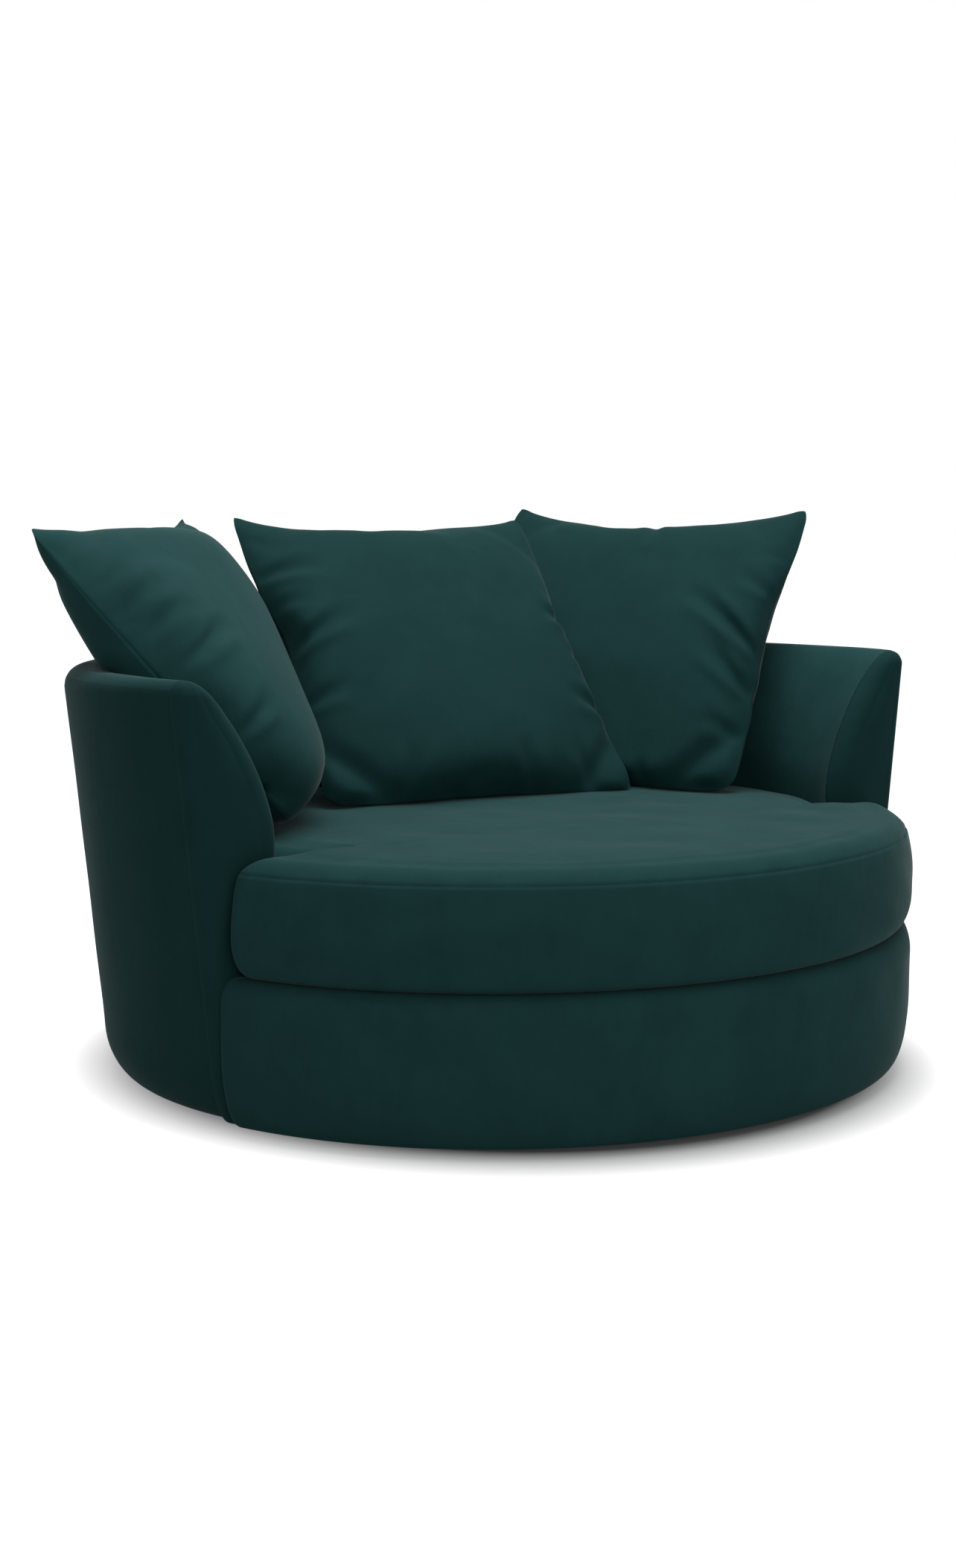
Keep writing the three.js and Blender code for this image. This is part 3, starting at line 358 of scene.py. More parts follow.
def make_beech(name, along):
    """Stretched flecks over a slow wave of warm and pale wood, along X, along Y or round Z."""
    material, shader, place = new_material(name, {"Roughness": 0.55, "Specular IOR Level": 0.4})
    source = place
    if along == "round":
        parts = add_node(material, "ShaderNodeSeparateXYZ", None, {0: place})
        angle = add_node(material, "ShaderNodeMath", {"operation": "ARCTAN2"},
                         {0: parts.outputs["X"], 1: parts.outputs["Y"]})
        arc = add_node(material, "ShaderNodeMath", {"operation": "MULTIPLY", 1: BENT_RADIUS},
                       {0: angle.outputs[0]})
        out = add_node(material, "ShaderNodeVectorMath", {"operation": "LENGTH"}, {0: place})
        joined = add_node(material, "ShaderNodeCombineXYZ", None,
                          {0: arc.outputs[0], 1: out.outputs["Value"], 2: parts.outputs["Z"]})
        source = joined.outputs[0]
    scale = (60.0, 8.0, 60.0) if along == "Y" else (8.0, 60.0, 60.0)
    grain = add_node(material, "ShaderNodeMapping", {"Scale": scale}, {"Vector": source})
    slow = add_node(material, "ShaderNodeTexNoise", {"Scale": 0.5, "Detail": 4.0,
                                                     "Distortion": 0.8},
                    {"Vector": grain.outputs["Vector"]})
    flecks = add_node(material, "ShaderNodeTexNoise", {"Scale": 9.0, "Detail": 2.0},
                      {"Vector": grain.outputs["Vector"]})
    wood = add_node(material, "ShaderNodeMix",
                    {"data_type": "RGBA", 6: linear("a87a4e"), 7: linear("c99a6b")},
                    {0: slow.outputs["Fac"]})
    dark = add_node(material, "ShaderNodeMapRange",
                    {"From Min": 0.62, "From Max": 0.74, "To Max": 0.5},
                    {"Value": flecks.outputs["Fac"]})
    colour = add_node(material, "ShaderNodeMix", {"data_type": "RGBA", 7: linear("7a5230")},
                      {0: dark.outputs["Result"], 6: wood.outputs[2]})
    bump = add_node(material, "ShaderNodeBump", {"Strength": 0.15, "Distance": 0.0003},
                    {"Height": flecks.outputs["Fac"]})
    join(material, shader, {"Base Color": colour.outputs[2], "Normal": bump.outputs["Normal"]})
    return material


beech_round = make_beech("planed_beech_bent", "round")
for rail_name, rail_wood in (("cross_rail_side", make_beech("planed_beech_side", "X")),
                             ("cross_rail_long", make_beech("planed_beech_long", "Y")),
                             ("front_rail", beech_round), ("top_rail", beech_round)):
    paint(nodes[rail_name], rail_wood)
print("beech rails painted")

# %% [markdown]
# The turntable is pressed from mild steel and zinc plated. Zinc grows in soft bright grains,
# a few millimetres across, and dulls unevenly, so the roughness wanders between satin and
# dull. Screws have the same plating, brighter and finer. The seat springs are hard drawn wire
# with a dark oil film, so they are darker and smoother.

# %% Zinc plate, screws and spring wire
def make_steel(name, dark, pale, grain_mm, rough):
    """Cells of slightly different grey, and a wandering roughness."""
    material, shader, place = new_material(name, {"Metallic": 1.0})
    grains = add_node(material, "ShaderNodeTexVoronoi", {"Scale": 1000 / grain_mm},
                      {"Vector": place})
    tone = add_node(material, "ShaderNodeSeparateColor", None, {0: grains.outputs["Color"]})
    colour = add_node(material, "ShaderNodeMix",
                      {"data_type": "RGBA", 6: linear(dark), 7: linear(pale)},
                      {0: tone.outputs[0]})
    wander = add_node(material, "ShaderNodeTexNoise", {"Scale": 1000 / (grain_mm * 6),
                                                       "Detail": 4.0}, {"Vector": place})
    dull = add_node(material, "ShaderNodeMapRange",
                    {"To Min": rough * 0.75, "To Max": rough * 1.3},
                    {"Value": wander.outputs["Fac"]})
    join(material, shader, {"Base Color": colour.outputs[2],
                            "Roughness": dull.outputs["Result"]})
    return material


zinc = make_steel("zinc_plated_pressing", "a3a7aa", "b9bdbf", 4.0, 0.34)
screw_zinc = make_steel("zinc_plated_screw", "b4b6b4", "c6c8c6", 1.0, 0.28)
wire = make_steel("oiled_spring_wire", "4b4e50", "5d6062", 1.5, 0.3)
for metal_name in ("lower_race", "upper_race", "ball_cage"):
    paint(nodes[metal_name], zinc)
for k in range(1, 5):
    paint(nodes[f"lower_race_screw_{k}"], screw_zinc)
    paint(nodes[f"upper_race_screw_{k}"], screw_zinc)
for k in range(1, 6):
    paint(nodes[f"seat_spring_{k}"], wire)
print("steel painted")

# %% [markdown]
# The six glides are moulded in black nylon. Moulded nylon has a fine orange peel from the
# tool, so its tone is a little mottled and its gloss is broken up by small dimples. The peel
# is about 1.2 mm across, which is drawn as it is.

# %% Nylon glides
def make_nylon(name, dark, pale, peel_mm):
    """A faint mottled tone with a fine dimpled bump."""
    material, shader, place = new_material(name, {"Roughness": 0.45, "IOR": 1.53})
    peel = add_node(material, "ShaderNodeTexNoise", {"Scale": 1000 / peel_mm, "Detail": 3.0},
                    {"Vector": place})
    colour = add_node(material, "ShaderNodeMix",
                      {"data_type": "RGBA", 6: linear(dark), 7: linear(pale)},
                      {0: peel.outputs["Fac"]})
    bump = add_node(material, "ShaderNodeBump", {"Strength": 0.25, "Distance": 0.0003},
                    {"Height": peel.outputs["Fac"]})
    join(material, shader, {"Base Color": colour.outputs[2], "Normal": bump.outputs["Normal"]})
    return material


glide_nylon = make_nylon("moulded_nylon", "1a1a1b", "2b2b2c", 1.2)
for k in range(1, 7):
    paint(nodes[f"glide_{k}"], glide_nylon)
print("nylon painted")

# %% [markdown]
# The zip on the rear side of the seat cushion is a woven tape with a nylon coil along its
# middle. The coil's turns are 1.5 mm apart, which is drawn as it is. The zip follows the curve
# of the cushion, about 480 mm from the chair's middle, so the bars are counted by the angle.

# %% The zip
ZIP_RADIUS_MM = 480


def make_zip(name, coil_mm):
    """Bars across the tape: the sine of the distance round the chair over the coil's step."""
    material, shader, place = new_material(name, {"Roughness": 0.5})
    parts = add_node(material, "ShaderNodeSeparateXYZ", None, {0: place})
    angle = add_node(material, "ShaderNodeMath", {"operation": "ARCTAN2"},
                     {0: parts.outputs["X"], 1: parts.outputs["Y"]})
    turns = add_node(material, "ShaderNodeMath",
                     {"operation": "MULTIPLY", 1: ZIP_RADIUS_MM / coil_mm * 2 * math.pi},
                     {0: angle.outputs[0]})
    bars = add_node(material, "ShaderNodeMath", {"operation": "SINE"}, {0: turns.outputs[0]})
    tone = add_node(material, "ShaderNodeMapRange", {"From Min": -1.0}, {"Value": bars.outputs[0]})
    colour = add_node(material, "ShaderNodeMix",
                      {"data_type": "RGBA", 6: linear("0f2223"), 7: linear("2c4546")},
                      {0: tone.outputs["Result"]})
    bump = add_node(material, "ShaderNodeBump", {"Strength": 0.6, "Distance": 0.0006},
                    {"Height": tone.outputs["Result"]})
    join(material, shader, {"Base Color": colour.outputs[2], "Normal": bump.outputs["Normal"]})
    return material


paint(nodes["seat_cushion_zip"], make_zip("woven_zip_tape", 1.5))
print("zip painted")

# %% [markdown]
# The wall is the hard part of this chair. In plan it is an ellipse, 1.32 m wide at the floor,
# and it flares outwards as it rises. A cover is swept round it: a closed section of points,
# each so far in from the outside and so high, is carried from one arm to the other. Both ends
# lie in one upright plane behind the arm fronts, so each point has its own end angle.

# %% The wall's plan
WALL_TOP = 650.0
FLOOR_HALF_WIDTH = 660.0
WALL_FLARE = 63.0
WALL_DEPTH_SHARE = 0.8885
WALL_END = 187.0
WALL_ARC = 2650.0


def half_width(height):
    """The wall's outer half width: wider in step with the height."""
    return FLOOR_HALF_WIDTH + WALL_FLARE * height / WALL_TOP


def wall_point(inset, height, turn):
    """A point of the ellipse that lies inset inside the outer one, turned from straight ahead."""
    x = (half_width(height) - inset) * np.sin(turn)
    y = -(half_width(height) * WALL_DEPTH_SHARE - inset) * np.cos(turn)
    return np.stack(np.broadcast_arrays(x, y, height), axis=-1)


def end_turn(inset, height, plane):
    """The angle at which that ellipse meets the plane in front of the middle."""
    return np.arccos(plane / (half_width(height) * WALL_DEPTH_SHARE - inset))


print("the wall is", round(2 * half_width(WALL_TOP)), "mm wide at its top")

# %% [markdown]
# The wall's section changes on its way. Its top is a soft band along the back that narrows
# towards the arm fronts, and its outer top edge is a big roll that gets tighter there. The
# padding on the inner side is a little fuller just above the seat, and the arms' tops rise by
# 2 mm towards the front. Each of these is a small function of the height and of the place
# from side to side, which runs from -1 at the left arm front to 1 at the right one.

# %% How the wall's section changes
TOP_WIDE, TOP_NARROW, TAPER_SHARE = 45.0, 22.0, 0.17
END_ROLL, BACK_ROLL, ROLL_NARROWER = 24.0, 35.0, 2
ARM_FULL, FULL_FROM, FULL_RISE, FULL_FALL = 8.0, 365, 95, 150
ARM_RAISE, RAISE_FROM, RAISE_REACH = 2.0, 540, 340


def eased(share):
    """A slow start and a slow finish between 0 and 1."""
    share = np.clip(share, 0, 1)
    return share * share * (3 - 2 * share)


def top_thickness(side):
    """Full along the back, easing to narrow over the last part of each arm."""
    return TOP_NARROW + (TOP_WIDE - TOP_NARROW) * eased((1 - np.abs(side)) / TAPER_SHARE)


def top_roll(side):
    """How wide and how tall the soft outer top edge is: big along the back, less at the arms."""
    share = eased((1 - np.abs(side)) / TAPER_SHARE)
    tall = END_ROLL + (BACK_ROLL - END_ROLL) * share
    return tall - ROLL_NARROWER, tall


def top_inset(height, side):
    """The outer top edge: how far in the cloth is at a height, on a quarter ellipse."""
    wide, tall = top_roll(side)
    share = np.clip((height - (WALL_TOP - tall)) / tall, 0, 1)
    return wide * (1 - np.sqrt(1 - share ** 2))


def fullness(height):
    """How much the padding stands out on the inner side: it comes in just above the seat and
    goes again as a power of the distance below the top."""
    high = np.clip((WALL_TOP - height) / FULL_FALL, 0, 1)
    return ARM_FULL * eased((height - FULL_FROM) / FULL_RISE) * high ** 0.7


def raise_arm(height, near_end):
    """How much higher the cloth lies towards the arm fronts: a square of the height's share,
    easing out with the distance from the end."""
    up = np.clip((height - RAISE_FROM) / (WALL_TOP - RAISE_FROM), 0, 1)
    return ARM_RAISE * up ** 2 * eased(1 - near_end / RAISE_REACH)


print("top band", top_thickness(np.array([0.0, 0.9, 1.0])).round(1), "mm from back to arm")

# %% [markdown]
# The sweep itself carries a closed section of points round the wall. The columns stand closer
# together near both ends, where the cloth turns into the end seam.

# %% Sweep a section round the wall
CLOSE_TO_END = (0.0006, 0.0012, 0.002, 0.003, 0.0045, 0.0065, 0.009, 0.012, 0.016)


def end_spacing(count, close):
    """Places from -1 to 1, evenly spaced, with a few more close to each end."""
    even = np.linspace(-1, 1, count)
    near = np.array(close)
    return np.unique(np.concatenate([even, -1 + near, 1 - near]))


def sweep_wall(section, side, plane):
    """Carries a section of (inset, height) for each side place round the wall: the side place
    is the share of the way from the middle of the back to each point's own end angle."""
    inset, height = section[..., 0], section[..., 1]
    end = end_turn(inset, height, plane)
    turn = np.pi - side[:, None] * (np.pi - end)
    points = wall_point(inset, height, turn)
    points[..., 2] += raise_arm(height, (1 - np.abs(side[:, None])) * WALL_ARC / 2)
    return points


def sweep_to_piece(name, points):
    """Makes a closed tube of rings of points, such as one ring for each column of the wall."""
    return make_piece(name, points, tube_faces(points.shape[0], points.shape[1]))


wall_side = end_spacing(301, CLOSE_TO_END)
print("wall columns", len(wall_side))

# %% [markdown]
# Cloth over padding is never dead flat. A slow ripple, a millimetre high and a hand wide,
# follows how the wadding was laid. It is a sum of a few sine waves whose directions and
# lengths come from a numbered random source, so every run gives the same cloth. The second
# function draws the cloth in at a seam, most at the seam and less with distance. The third
# makes the quarter of an ellipse with which the covers turn under the frame.

# %% Ripples, drawn seams and round feet
def ripple(across, along, seed, length_mm, height_mm, waves=14):
    """A sum of sine waves in random directions, scaled to the given height."""
    random = np.random.default_rng(seed)
    total = np.zeros(np.broadcast(across, along).shape)
    for angle, stretch, start in zip(random.uniform(0, 2 * np.pi, waves),
                                     random.uniform(0.6, 1.6, waves),
                                     random.uniform(0, 2 * np.pi, waves)):
        number = 2 * np.pi / (length_mm * stretch)
        total = total + np.sin(number * (across * np.cos(angle) + along * np.sin(angle)) + start)
    return height_mm * total / math.sqrt(waves)


def drawn_in(distance, depth, reach):
    """How far cloth is pulled in at a distance from a seam: a bell curve."""
    return depth * np.exp(-(distance / reach) ** 2)


def quarter(start, finish, count):
    """A quarter of an ellipse between two (inset, height) points, upright at the first."""
    angle = np.linspace(0, np.pi / 2, count)
    inset = start[0] + (finish[0] - start[0]) * (1 - np.cos(angle))
    height = start[1] + (finish[1] - start[1]) * np.sin(angle)
    return np.stack([inset, height], axis=-1)


print("ripple sample", np.round(ripple(np.arange(3) * 50.0, 0.0, 1, 160, 1.0), 2))

# %% [markdown]
# Both covers of the wall turn a soft corner at the arm's front, where their cloth meets the
# arm front's. The corner's radius is 24 mm, and less near the tip, where the arm gets thin.
# How much the corner takes off depends on how far in front of the chair's middle the wall is
# at that place.

# %% The soft corner at the arms' ends
FULL_DEEP = 126.0
SWELL_FOOT, SWELL_POWER = 400.0, 1.7
ARM_BACK, ARM_FACE, ARM_CORNER = 187.3, 212.0, 24.0


def end_distance(side):
    """How far along the wall a side place is from the nearer end seam, in millimetres."""
    return (1 - np.abs(side)) * WALL_ARC / 2


def inner_inset(height, top):
    """The swelling face turned round: how far in the padding is at a height."""
    up = np.clip((height - SWELL_FOOT) / (WALL_TOP - SWELL_FOOT), 0, 1)
    angle = np.arccos(up ** (SWELL_POWER / 2))
    return top + (FULL_DEEP - top) * np.sin(angle) ** (2 / SWELL_POWER) + fullness(height)


def corner_radius(height):
    """The soft corner between the arm's side and its front, less where the arm gets thin."""
    return np.minimum(ARM_CORNER, 0.5 * inner_inset(height, TOP_NARROW))


def corner_inset(side, height):
    """How far in the soft corner takes the wall's face: nothing before the circle starts, and
    then the radius less the root of its square minus the square of the way past the start."""
    turn = np.pi - side * (np.pi - end_turn(0.0, height, WALL_END))
    depth = -wall_point(0.0, height, turn)[..., 1]
    radius = corner_radius(height)
    beyond = np.clip(depth - (ARM_FACE - radius), 0, radius)
    return radius - np.sqrt(radius ** 2 - beyond ** 2)


print("corner radius", corner_radius(np.array([300, 600, WALL_TOP])).round(1), "mm going up")

# %% [markdown]
# The outside cover is velvet over thin wadding. It runs from a hem under the frame, round a
# big soft foot, and straight up to the seam at the wall's outer top edge. The section is a
# closed loop: the outer face in many rows, the hem, and a plain inner face that nobody sees.
# At the top seam and at both end seams the thread draws the cloth in by a third of a
# millimetre at most. That is enough for the fine line where two covers meet.

# %% The outside cover
SEAM_HEIGHT = 636.0
COVER_DEEP = 10.0
HEM_LOW, HEM_TOP, HEM_REACH, HEM_ROUND, HEM_BEVEL = 12.0, 37.7, 60.0, 8.0, 2.3
FOOT_REACH, FOOT_HEIGHT = 42.0, 70.0
SEAM_DRAW, END_DRAW, DRAW_REACH = 0.3, 0.12, 2.5


def outside_shape():
    """The plain section: the outer face from the seam down, the foot, the hem and the hidden
    face. The number of points that show comes with it."""
    straight = np.stack([np.zeros(70), np.linspace(SEAM_HEIGHT, HEM_LOW + FOOT_HEIGHT, 70)], -1)
    close = np.stack([np.zeros(4), SEAM_HEIGHT - np.array([1.0, 2.2, 3.8, 6.0])], -1)
    foot = quarter((0, HEM_LOW + FOOT_HEIGHT), (FOOT_REACH, HEM_LOW), 14)[1:]
    hem = [(HEM_REACH - HEM_ROUND, HEM_LOW), (HEM_REACH - HEM_BEVEL, HEM_LOW + HEM_BEVEL),
           (HEM_REACH, HEM_LOW + HEM_ROUND), (HEM_REACH, HEM_TOP),
           (COVER_DEEP, HEM_TOP), (COVER_DEEP, 340.0), (COVER_DEEP, SEAM_HEIGHT)]
    face = np.concatenate([straight[:1], close, straight[1:], foot])
    return np.concatenate([face, hem]), len(face)


def outside_section(side):
    """The plain section at each side place, moved in by the draw of the seams, by the rolled
    top edge, by the soft corner, and by ripples that fade out at the seams and the foot."""
    section, shown = outside_shape()
    section = np.broadcast_to(section, (len(side), *section.shape)).copy()
    height, side = section[:, :shown, 1], side[:, None]
    near_end = end_distance(side)
    fade = np.clip((height - 60) / 60, 0, 1) * np.clip(near_end / 60, 0, 1)
    wave = 1.0 + ripple(side * WALL_ARC / 2, height, 11, 190, 0.55)
    draw = drawn_in(SEAM_HEIGHT - height, SEAM_DRAW, DRAW_REACH)
    draw = draw + drawn_in(near_end, END_DRAW, DRAW_REACH) + top_inset(height, side)
    wave = np.clip(wave, 0, 3) * fade * np.clip((SEAM_HEIGHT - height) / 40, 0, 1)
    section[:, :shown, 0] += wave
    section[:, :shown, 0] += draw + corner_inset(side, height)
    return section


outside = sweep_to_piece("outside_cover_velvet",
                         sweep_wall(outside_section(wall_side), wall_side, WALL_END))
# The outside cover gets the darker copy of the velvet: painted shade.
paint(outside, velvet_painted_shade)
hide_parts("outside_cover")
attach(outside, "chair")

# %% [markdown]
# The inside cover starts at the same seam, rolls over the top of the wall and swells down
# over thick padding to the seat. The top of the wall is a level band of soft cloth, 45 mm wide
# along the back and 22 mm at the arm fronts. The swell is a quarter of a rounded curve: level
# where it leaves the top, and upright where it has reached its full depth, 250 mm lower.

# %% The inside cover's section
PADDING_DEEP, TOP_PADDING = 32.0, 28.0
UPHOLSTERY_FOOT, LIP_INSET = 213.3, COVER_DEEP + 0.3
ROLL_STEPS = np.array([0, 0.02, 0.07, 0.15, 0.25, 0.36, 0.48, 0.6, 0.72, 0.86, 1.0])


def swell(start_inset, top_height, full_inset, full_height, count):
    """A quarter of a superellipse from the wall's top down its swelling face."""
    angle = np.linspace(0, np.pi / 2, count)
    across = np.sin(angle) ** (2 / SWELL_POWER)
    up = np.cos(angle) ** (2 / SWELL_POWER)
    inset = np.asarray(start_inset)[..., None] * (1 - across) + full_inset * across
    height = full_height + (top_height - full_height) * up
    return np.stack(np.broadcast_arrays(inset, height), axis=-1)


def inside_shown(side):
    """The part that shows, at each side place: a quarter of an ellipse for the rolled edge,
    the level top, the swell, and the upright face below it."""
    top = top_thickness(side)
    wide, tall = top_roll(side)
    start = np.arcsin((SEAM_HEIGHT + 0.3 - WALL_TOP + tall) / tall)[:, None]
    angle = start + (np.pi / 2 - start) * ROLL_STEPS
    roll = np.stack([wide[:, None] * (1 - np.cos(angle)),
                     WALL_TOP - tall[:, None] * (1 - np.sin(angle))], -1)
    level_share = np.linspace(0, 1, 6)[1:-1]
    level = np.stack(np.broadcast_arrays(
        wide[:, None] + (top - wide + 0.4)[:, None] * level_share, WALL_TOP), axis=-1)
    face = swell(top + 0.4, WALL_TOP, FULL_DEEP, SWELL_FOOT, 46)
    low = np.stack([np.full(18, FULL_DEEP),
                    np.linspace(SWELL_FOOT, UPHOLSTERY_FOOT, 19)[1:]], -1)
    low = np.broadcast_to(low, (len(side), *low.shape))
    return np.concatenate([roll, level, face, low], axis=1)


def inside_hidden(side):
    """The part behind the padding: its foot, a smaller swell going up, and the lip."""
    top = np.maximum(top_thickness(side) - 22, COVER_DEEP + 5)
    hidden = swell(top, WALL_TOP - TOP_PADDING, FULL_DEEP - PADDING_DEEP, SWELL_FOOT, 7)[:, ::-1]
    foot = np.array([(FULL_DEEP - PADDING_DEEP, UPHOLSTERY_FOOT)])
    lip = np.array([(LIP_INSET, WALL_TOP - TOP_PADDING), (LIP_INSET, SEAM_HEIGHT + 0.3)])
    foot, lip = [np.broadcast_to(part, (len(side), *part.shape)) for part in (foot, lip)]
    return np.concatenate([foot, hidden, lip], axis=1)


print("inside section", inside_shown(wall_side).shape[1], "points that show and",
      inside_hidden(wall_side).shape[1], "that don't")

# %% [markdown]
# The cloth then moves that section. The rolled edge is drawn in at the seams like the outside
# cover. The swelling face is a little fuller above the seat, with ripples that fade out at the
# top, and the level top dips by a millimetre here and there.

# %% The inside cover
def inside_section(side):
    """The whole section, with the draw of the seams and the corner on the rolled edge, the
    fullness less the ripples on the inner face, and a shallow dip on the level top."""
    shown = inside_shown(side)
    height, around = shown[..., 1].copy(), side[:, None] * WALL_ARC / 2
    near_end = end_distance(side)[:, None]
    draw = (drawn_in(height - SEAM_HEIGHT, SEAM_DRAW, DRAW_REACH)
            + drawn_in(near_end, END_DRAW, DRAW_REACH) + corner_inset(side[:, None], height))
    outer = np.arange(shown.shape[1]) < len(ROLL_STEPS) - 1
    inner = (height < WALL_TOP - 0.5) & ~outer
    fade = np.clip(near_end / 80, 0, 1) * np.clip((WALL_TOP - height) / 60, 0, 1)
    sink = np.clip(1.2 + ripple(around, height, 23, 170, 0.7), 0, 3) * fade
    shown[..., 0] += np.where(outer, draw, 0) + np.where(inner, fullness(height) - sink, 0)
    dip = np.clip(0.8 + ripple(around, shown[..., 0], 5, 120, 0.5), 0, 2)
    shown[..., 1] -= np.where(~inner & ~outer, dip * np.clip(near_end / 80, 0, 1), 0)
    shown[..., 1] -= np.where(outer, 0, drawn_in(near_end, END_DRAW, 3.0))
    return np.concatenate([shown, inside_hidden(side)], axis=1)


inside = sweep_to_piece("inside_cover_velvet",
                        sweep_wall(inside_section(wall_side), wall_side, WALL_END))
paint(inside, velvet)
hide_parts("inside_cover")
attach(inside, "chair")

# %% [markdown]
# Each arm front is a padded board covered in velvet. Seen from the front it is a tall blade:
# upright on its outer side, swelling on its inner side, and with a narrow strip that goes on
# to the floor beside the base panel. It is built as level slices. In each slice the face runs
# across between its outer and its inner edge. These helpers say where the two edges are and
# where the slices lie.

# %% The edges and slices of an arm front
TIP_TALL = 26.0


def outer_inset(height):
    """The blade's outer edge: rounded in at the foot and at the tip, upright between."""
    foot = np.clip((HEM_LOW + FOOT_HEIGHT - height) / FOOT_HEIGHT, 0, 1)
    return FOOT_REACH / 2 * (1 - np.sqrt(1 - foot ** 2)) + top_inset(height, 1.0)


def end_x(inset, height):
    """Where the wall's section meets the plane of the blade's back."""
    return wall_point(inset, height, end_turn(inset, height, ARM_BACK))[..., 0]


def rim_drop(distance, radius):
    """How far a rounded edge falls away, from nothing at its radius to all of it at the edge."""
    share = 1 - np.clip(distance / radius, 0, 1)
    return radius * (1 - np.sqrt(np.clip(1 - share ** 2, 0, 1)))


def slice_heights():
    """Heights of the slices: close together at the foot and at the tip."""
    foot = HEM_LOW + FOOT_HEIGHT * (1 - np.cos(np.linspace(0, np.pi / 2, 12)))
    strip = np.linspace(HEM_LOW + FOOT_HEIGHT, UPHOLSTERY_FOOT - 0.4, 14)[1:]
    blade = np.linspace(UPHOLSTERY_FOOT, WALL_TOP - TIP_TALL, 90)
    tip = WALL_TOP - TIP_TALL * np.cos(np.linspace(0, np.pi / 2, 20))[1:]
    return np.concatenate([foot, strip, blade, tip])[:, None]


print("slices in an arm front", len(slice_heights()))

# %% [markdown]
# In each slice the face is rounded towards both edges, tighter on the outer one, and a soft
# puff of 4 mm fills the middle. Near the tip and at the foot the face rolls back in the same
# way. The outer corner never takes more than most of the slice's width, so no slice shrinks
# to a line.

# %% The arm fronts
ARM_RIM, ARM_PUFF, STRIP_WIDE = 34.0, 4.0, 25.0
STRIP_RIM, FOOT_ROLL, FACE_STEP, THINNEST = 2.0, 8.0, 3, 1.2
MOST_OF_WIDTH = 0.94


def arm_front_points(mirror):
    """Level slices of the blade: the outer corner and the inner rim are parts of circles, and
    between them the face is straight across plus a puff that is a parabola."""
    height = slice_heights()
    on_blade = height >= UPHOLSTERY_FOOT
    x_out = end_x(outer_inset(height), height)
    x_in = np.where(on_blade, end_x(inner_inset(height, TOP_NARROW), height),
                    end_x(STRIP_WIDE, height))
    x_in = np.minimum(x_in, x_out - THINNEST)
    width = x_out - x_in
    face = ARM_FACE - rim_drop(WALL_TOP - height, ARM_FACE - ARM_BACK - FACE_STEP)
    face = face - rim_drop(height - HEM_LOW, FOOT_ROLL)
    corner = np.where(on_blade, corner_radius(height), ARM_CORNER)
    rim = np.where(on_blade, np.minimum(ARM_RIM, 0.4 * width), STRIP_RIM)
    swing = np.sin(np.linspace(0, np.pi / 2, 18))[None, :]
    deep_out = ARM_BACK + (face - ARM_BACK) * swing
    beyond = np.clip(deep_out - (face - corner), 0, corner)
    out_x = x_out - np.minimum(corner - np.sqrt(corner ** 2 - beyond ** 2),
                               MOST_OF_WIDTH * (width - rim))
    deep_in = deep_out[:, ::-1]
    beyond = np.clip(deep_in - (face - rim), 0, rim)
    in_x = x_in + rim - np.sqrt(rim ** 2 - beyond ** 2)
    share = np.linspace(0, 1, 22)[None, 1:-1]
    face_x = out_x[:, -1:] * (1 - share) + in_x[:, :1] * share
    fade = np.clip((height - 240) / 60, 0, 1) * np.clip((WALL_TOP - height) / 80, 0, 1)
    puff = (ARM_PUFF + ripple(face_x, height, 31, 150, 0.4)) * 4 * share * (1 - share) * fade
    x = np.concatenate([out_x, face_x, in_x], axis=1)
    y = -np.concatenate([deep_out, face + puff, deep_in], axis=1)
    points = np.stack(np.broadcast_arrays(x, y, height + raise_arm(height, 0.0)), -1)
    return points * np.array([mirror, 1, 1])


for arm_side, mirror in (("left", -1), ("right", 1)):
    blade = arm_front_points(mirror)
    arm = make_piece(f"arm_front_{arm_side}_velvet", blade,
                     tube_faces(blade.shape[0], blade.shape[1]), sharp_degrees=60)
    # The arm fronts get the darker copy of the velvet: painted shade.
    paint(arm, velvet_painted_shade)
    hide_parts(f"arm_front_{arm_side}")
    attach(arm, "chair")

# %% [markdown]
# The base panel closes the front under the seat. It is a padded curve, a little proud of the
# wall, with a big rolled lower edge that tucks under the frame. It is swept the same way as
# the wall, on its own ellipse, and drawn in at both ends where it meets the arm strips.

# %% The front base panel
FRONT_HALF_WIDTH, FRONT_HALF_DEPTH = 670.5, 639.3
FRONT_END, FRONT_DEEP = 212.3, 34.0
FRONT_TOP, FRONT_TOP_REACH, FRONT_TOP_DROP = 230.0, 22.0, 40.0
FRONT_FOOT_REACH, FRONT_FOOT_HEIGHT, FRONT_HEM_REACH = 28.0, 112.0, 75.0
FRONT_HALF_ARC = 900


def front_point(inset, height, turn):
    """A point of the base panel's ellipse, turned from straight ahead."""
    x = (FRONT_HALF_WIDTH - inset) * np.sin(turn)
    y = -(FRONT_HALF_DEPTH - inset) * np.cos(turn)
    return np.stack(np.broadcast_arrays(x, y, height), axis=-1)


